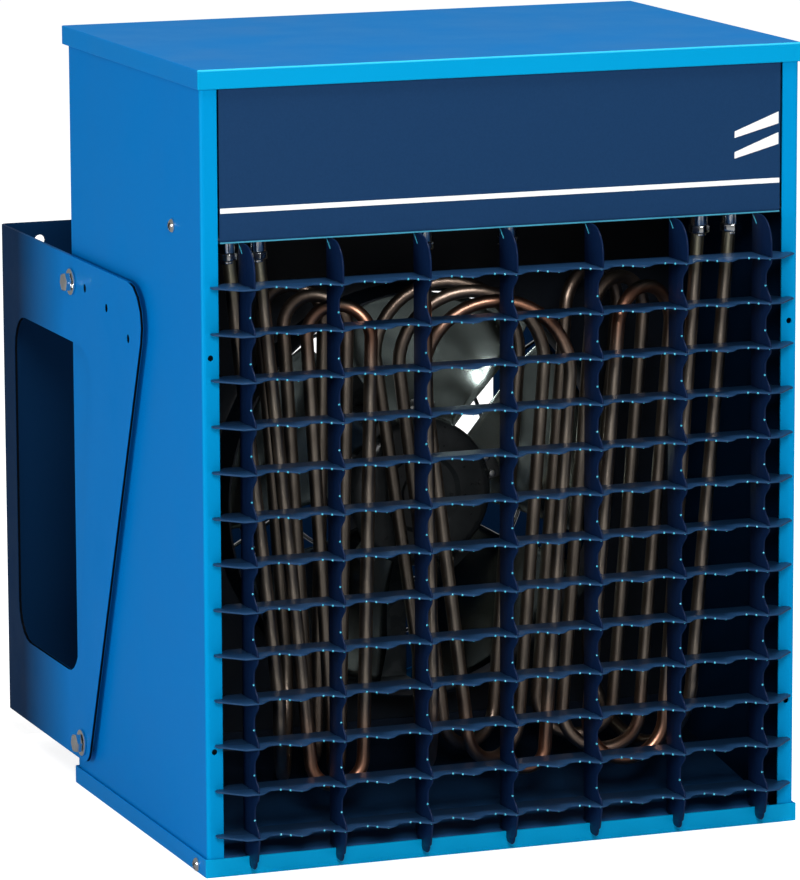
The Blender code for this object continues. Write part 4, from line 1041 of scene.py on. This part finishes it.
def floorPaper():
    # matt paper that shows white to the camera, and dimmer in reflections so that the enamel keeps its depth
    material = startMaterial("studioFloorPaper", Roughness=0.9, Specular_IOR_Level=0.1, Emission_Color=(1, 1, 1, 1))
    path = addNode(material, "LightPath").outputs
    tone = addNode(material, "MixRGB", {"Color1": colour("#F0F0F0"), "Color2": colour("#606060")},
                   {"Fac": path["Is Glossy Ray"]})
    mirrored = combined(material, "MULTIPLY", path["Is Glossy Ray"], studio["floorReflected"])
    shown = combined(material, "MAXIMUM", path["Is Camera Ray"], mirrored)
    intoShader(material, "Base Color", tone.outputs["Color"])
    intoShader(material, "Emission Strength", combined(material, "MULTIPLY", shown, studio["floorSeen"]))
    return material


bpy.ops.mesh.primitive_plane_add(size=30, location=(0, 0, 0))
floor = named("studioFloor")
floor.data.materials.append(floorPaper())

# the world lights softly, shows white to the camera and is a little brighter in reflections
world = bpy.data.worlds.new("studioWorld")
bpy.context.scene.world = world
world.use_nodes = True
background = world.node_tree.nodes["Background"]
background.inputs["Color"].default_value = (1, 1, 1, 1)
path = addNode(world, "LightPath").outputs
seen = addNode(world, "MapRange", {"To Min": studio["worldLight"], "To Max": studio["worldSeen"]},
               {"Value": path["Is Camera Ray"]}).outputs["Result"]
mirrored = combined(world, "MULTIPLY", path["Is Glossy Ray"], studio["worldReflected"])
world.node_tree.links.new(combined(world, "MAXIMUM", seen, mirrored), background.inputs["Strength"])

lamps = {
    "keyLamp": {"place": (-1.05, -3.60, 2.00), "aim": (0, 0, 0.30), "size": 1.0, "power": 86},
    "topLamp": {"place": (0.35, -1.0, 4.2), "aim": (0, 0, 0.35), "size": 1.0, "power": 98},
    "sideLamp": {"place": (-3.7, -1.2, 0.9), "aim": (0, 0, 0.30), "size": 0.9, "power": 49},
}
for name, lamp in lamps.items():
    bpy.ops.object.light_add(type="AREA", location=lamp["place"])
    light = bpy.context.object
    light.name = name
    light.data.size = lamp["size"]
    light.data.energy = lamp["power"]
    light.rotation_euler = (Vector(lamp["aim"]) - Vector(lamp["place"])).to_track_quat("-Z", "Y").to_euler()

camera = {"yaw": -20.603, "pitch": 10.314, "roll": -0.250, "distance": 4.179, "focalPixels": 5650,
          "framePixels": 880, "sensor": 36, "target": (-0.0231, 0, 0.2767)}
yaw, pitch, roll = (math.radians(camera[key]) for key in ("yaw", "pitch", "roll"))
backward = Vector((math.sin(yaw) * math.cos(pitch), -math.cos(yaw) * math.cos(pitch), math.sin(pitch)))
right = Vector((math.cos(yaw), math.sin(yaw), 0))
up = backward.cross(right)
turned = Matrix((right * math.cos(roll) + up * math.sin(roll), up * math.cos(roll) - right * math.sin(roll),
                 backward)).transposed().to_4x4()
turned.translation = Vector(camera["target"]) + backward * camera["distance"]
bpy.ops.object.camera_add()
view = bpy.context.object
view.name = "photoCamera"
view.matrix_world = turned
view.data.sensor_width = camera["sensor"]
view.data.lens = camera["focalPixels"] / camera["framePixels"] * camera["sensor"]
view.data.clip_end = 60
bpy.context.scene.camera = view
bpy.context.scene.view_settings.view_transform = "Standard"
print("studio ready")
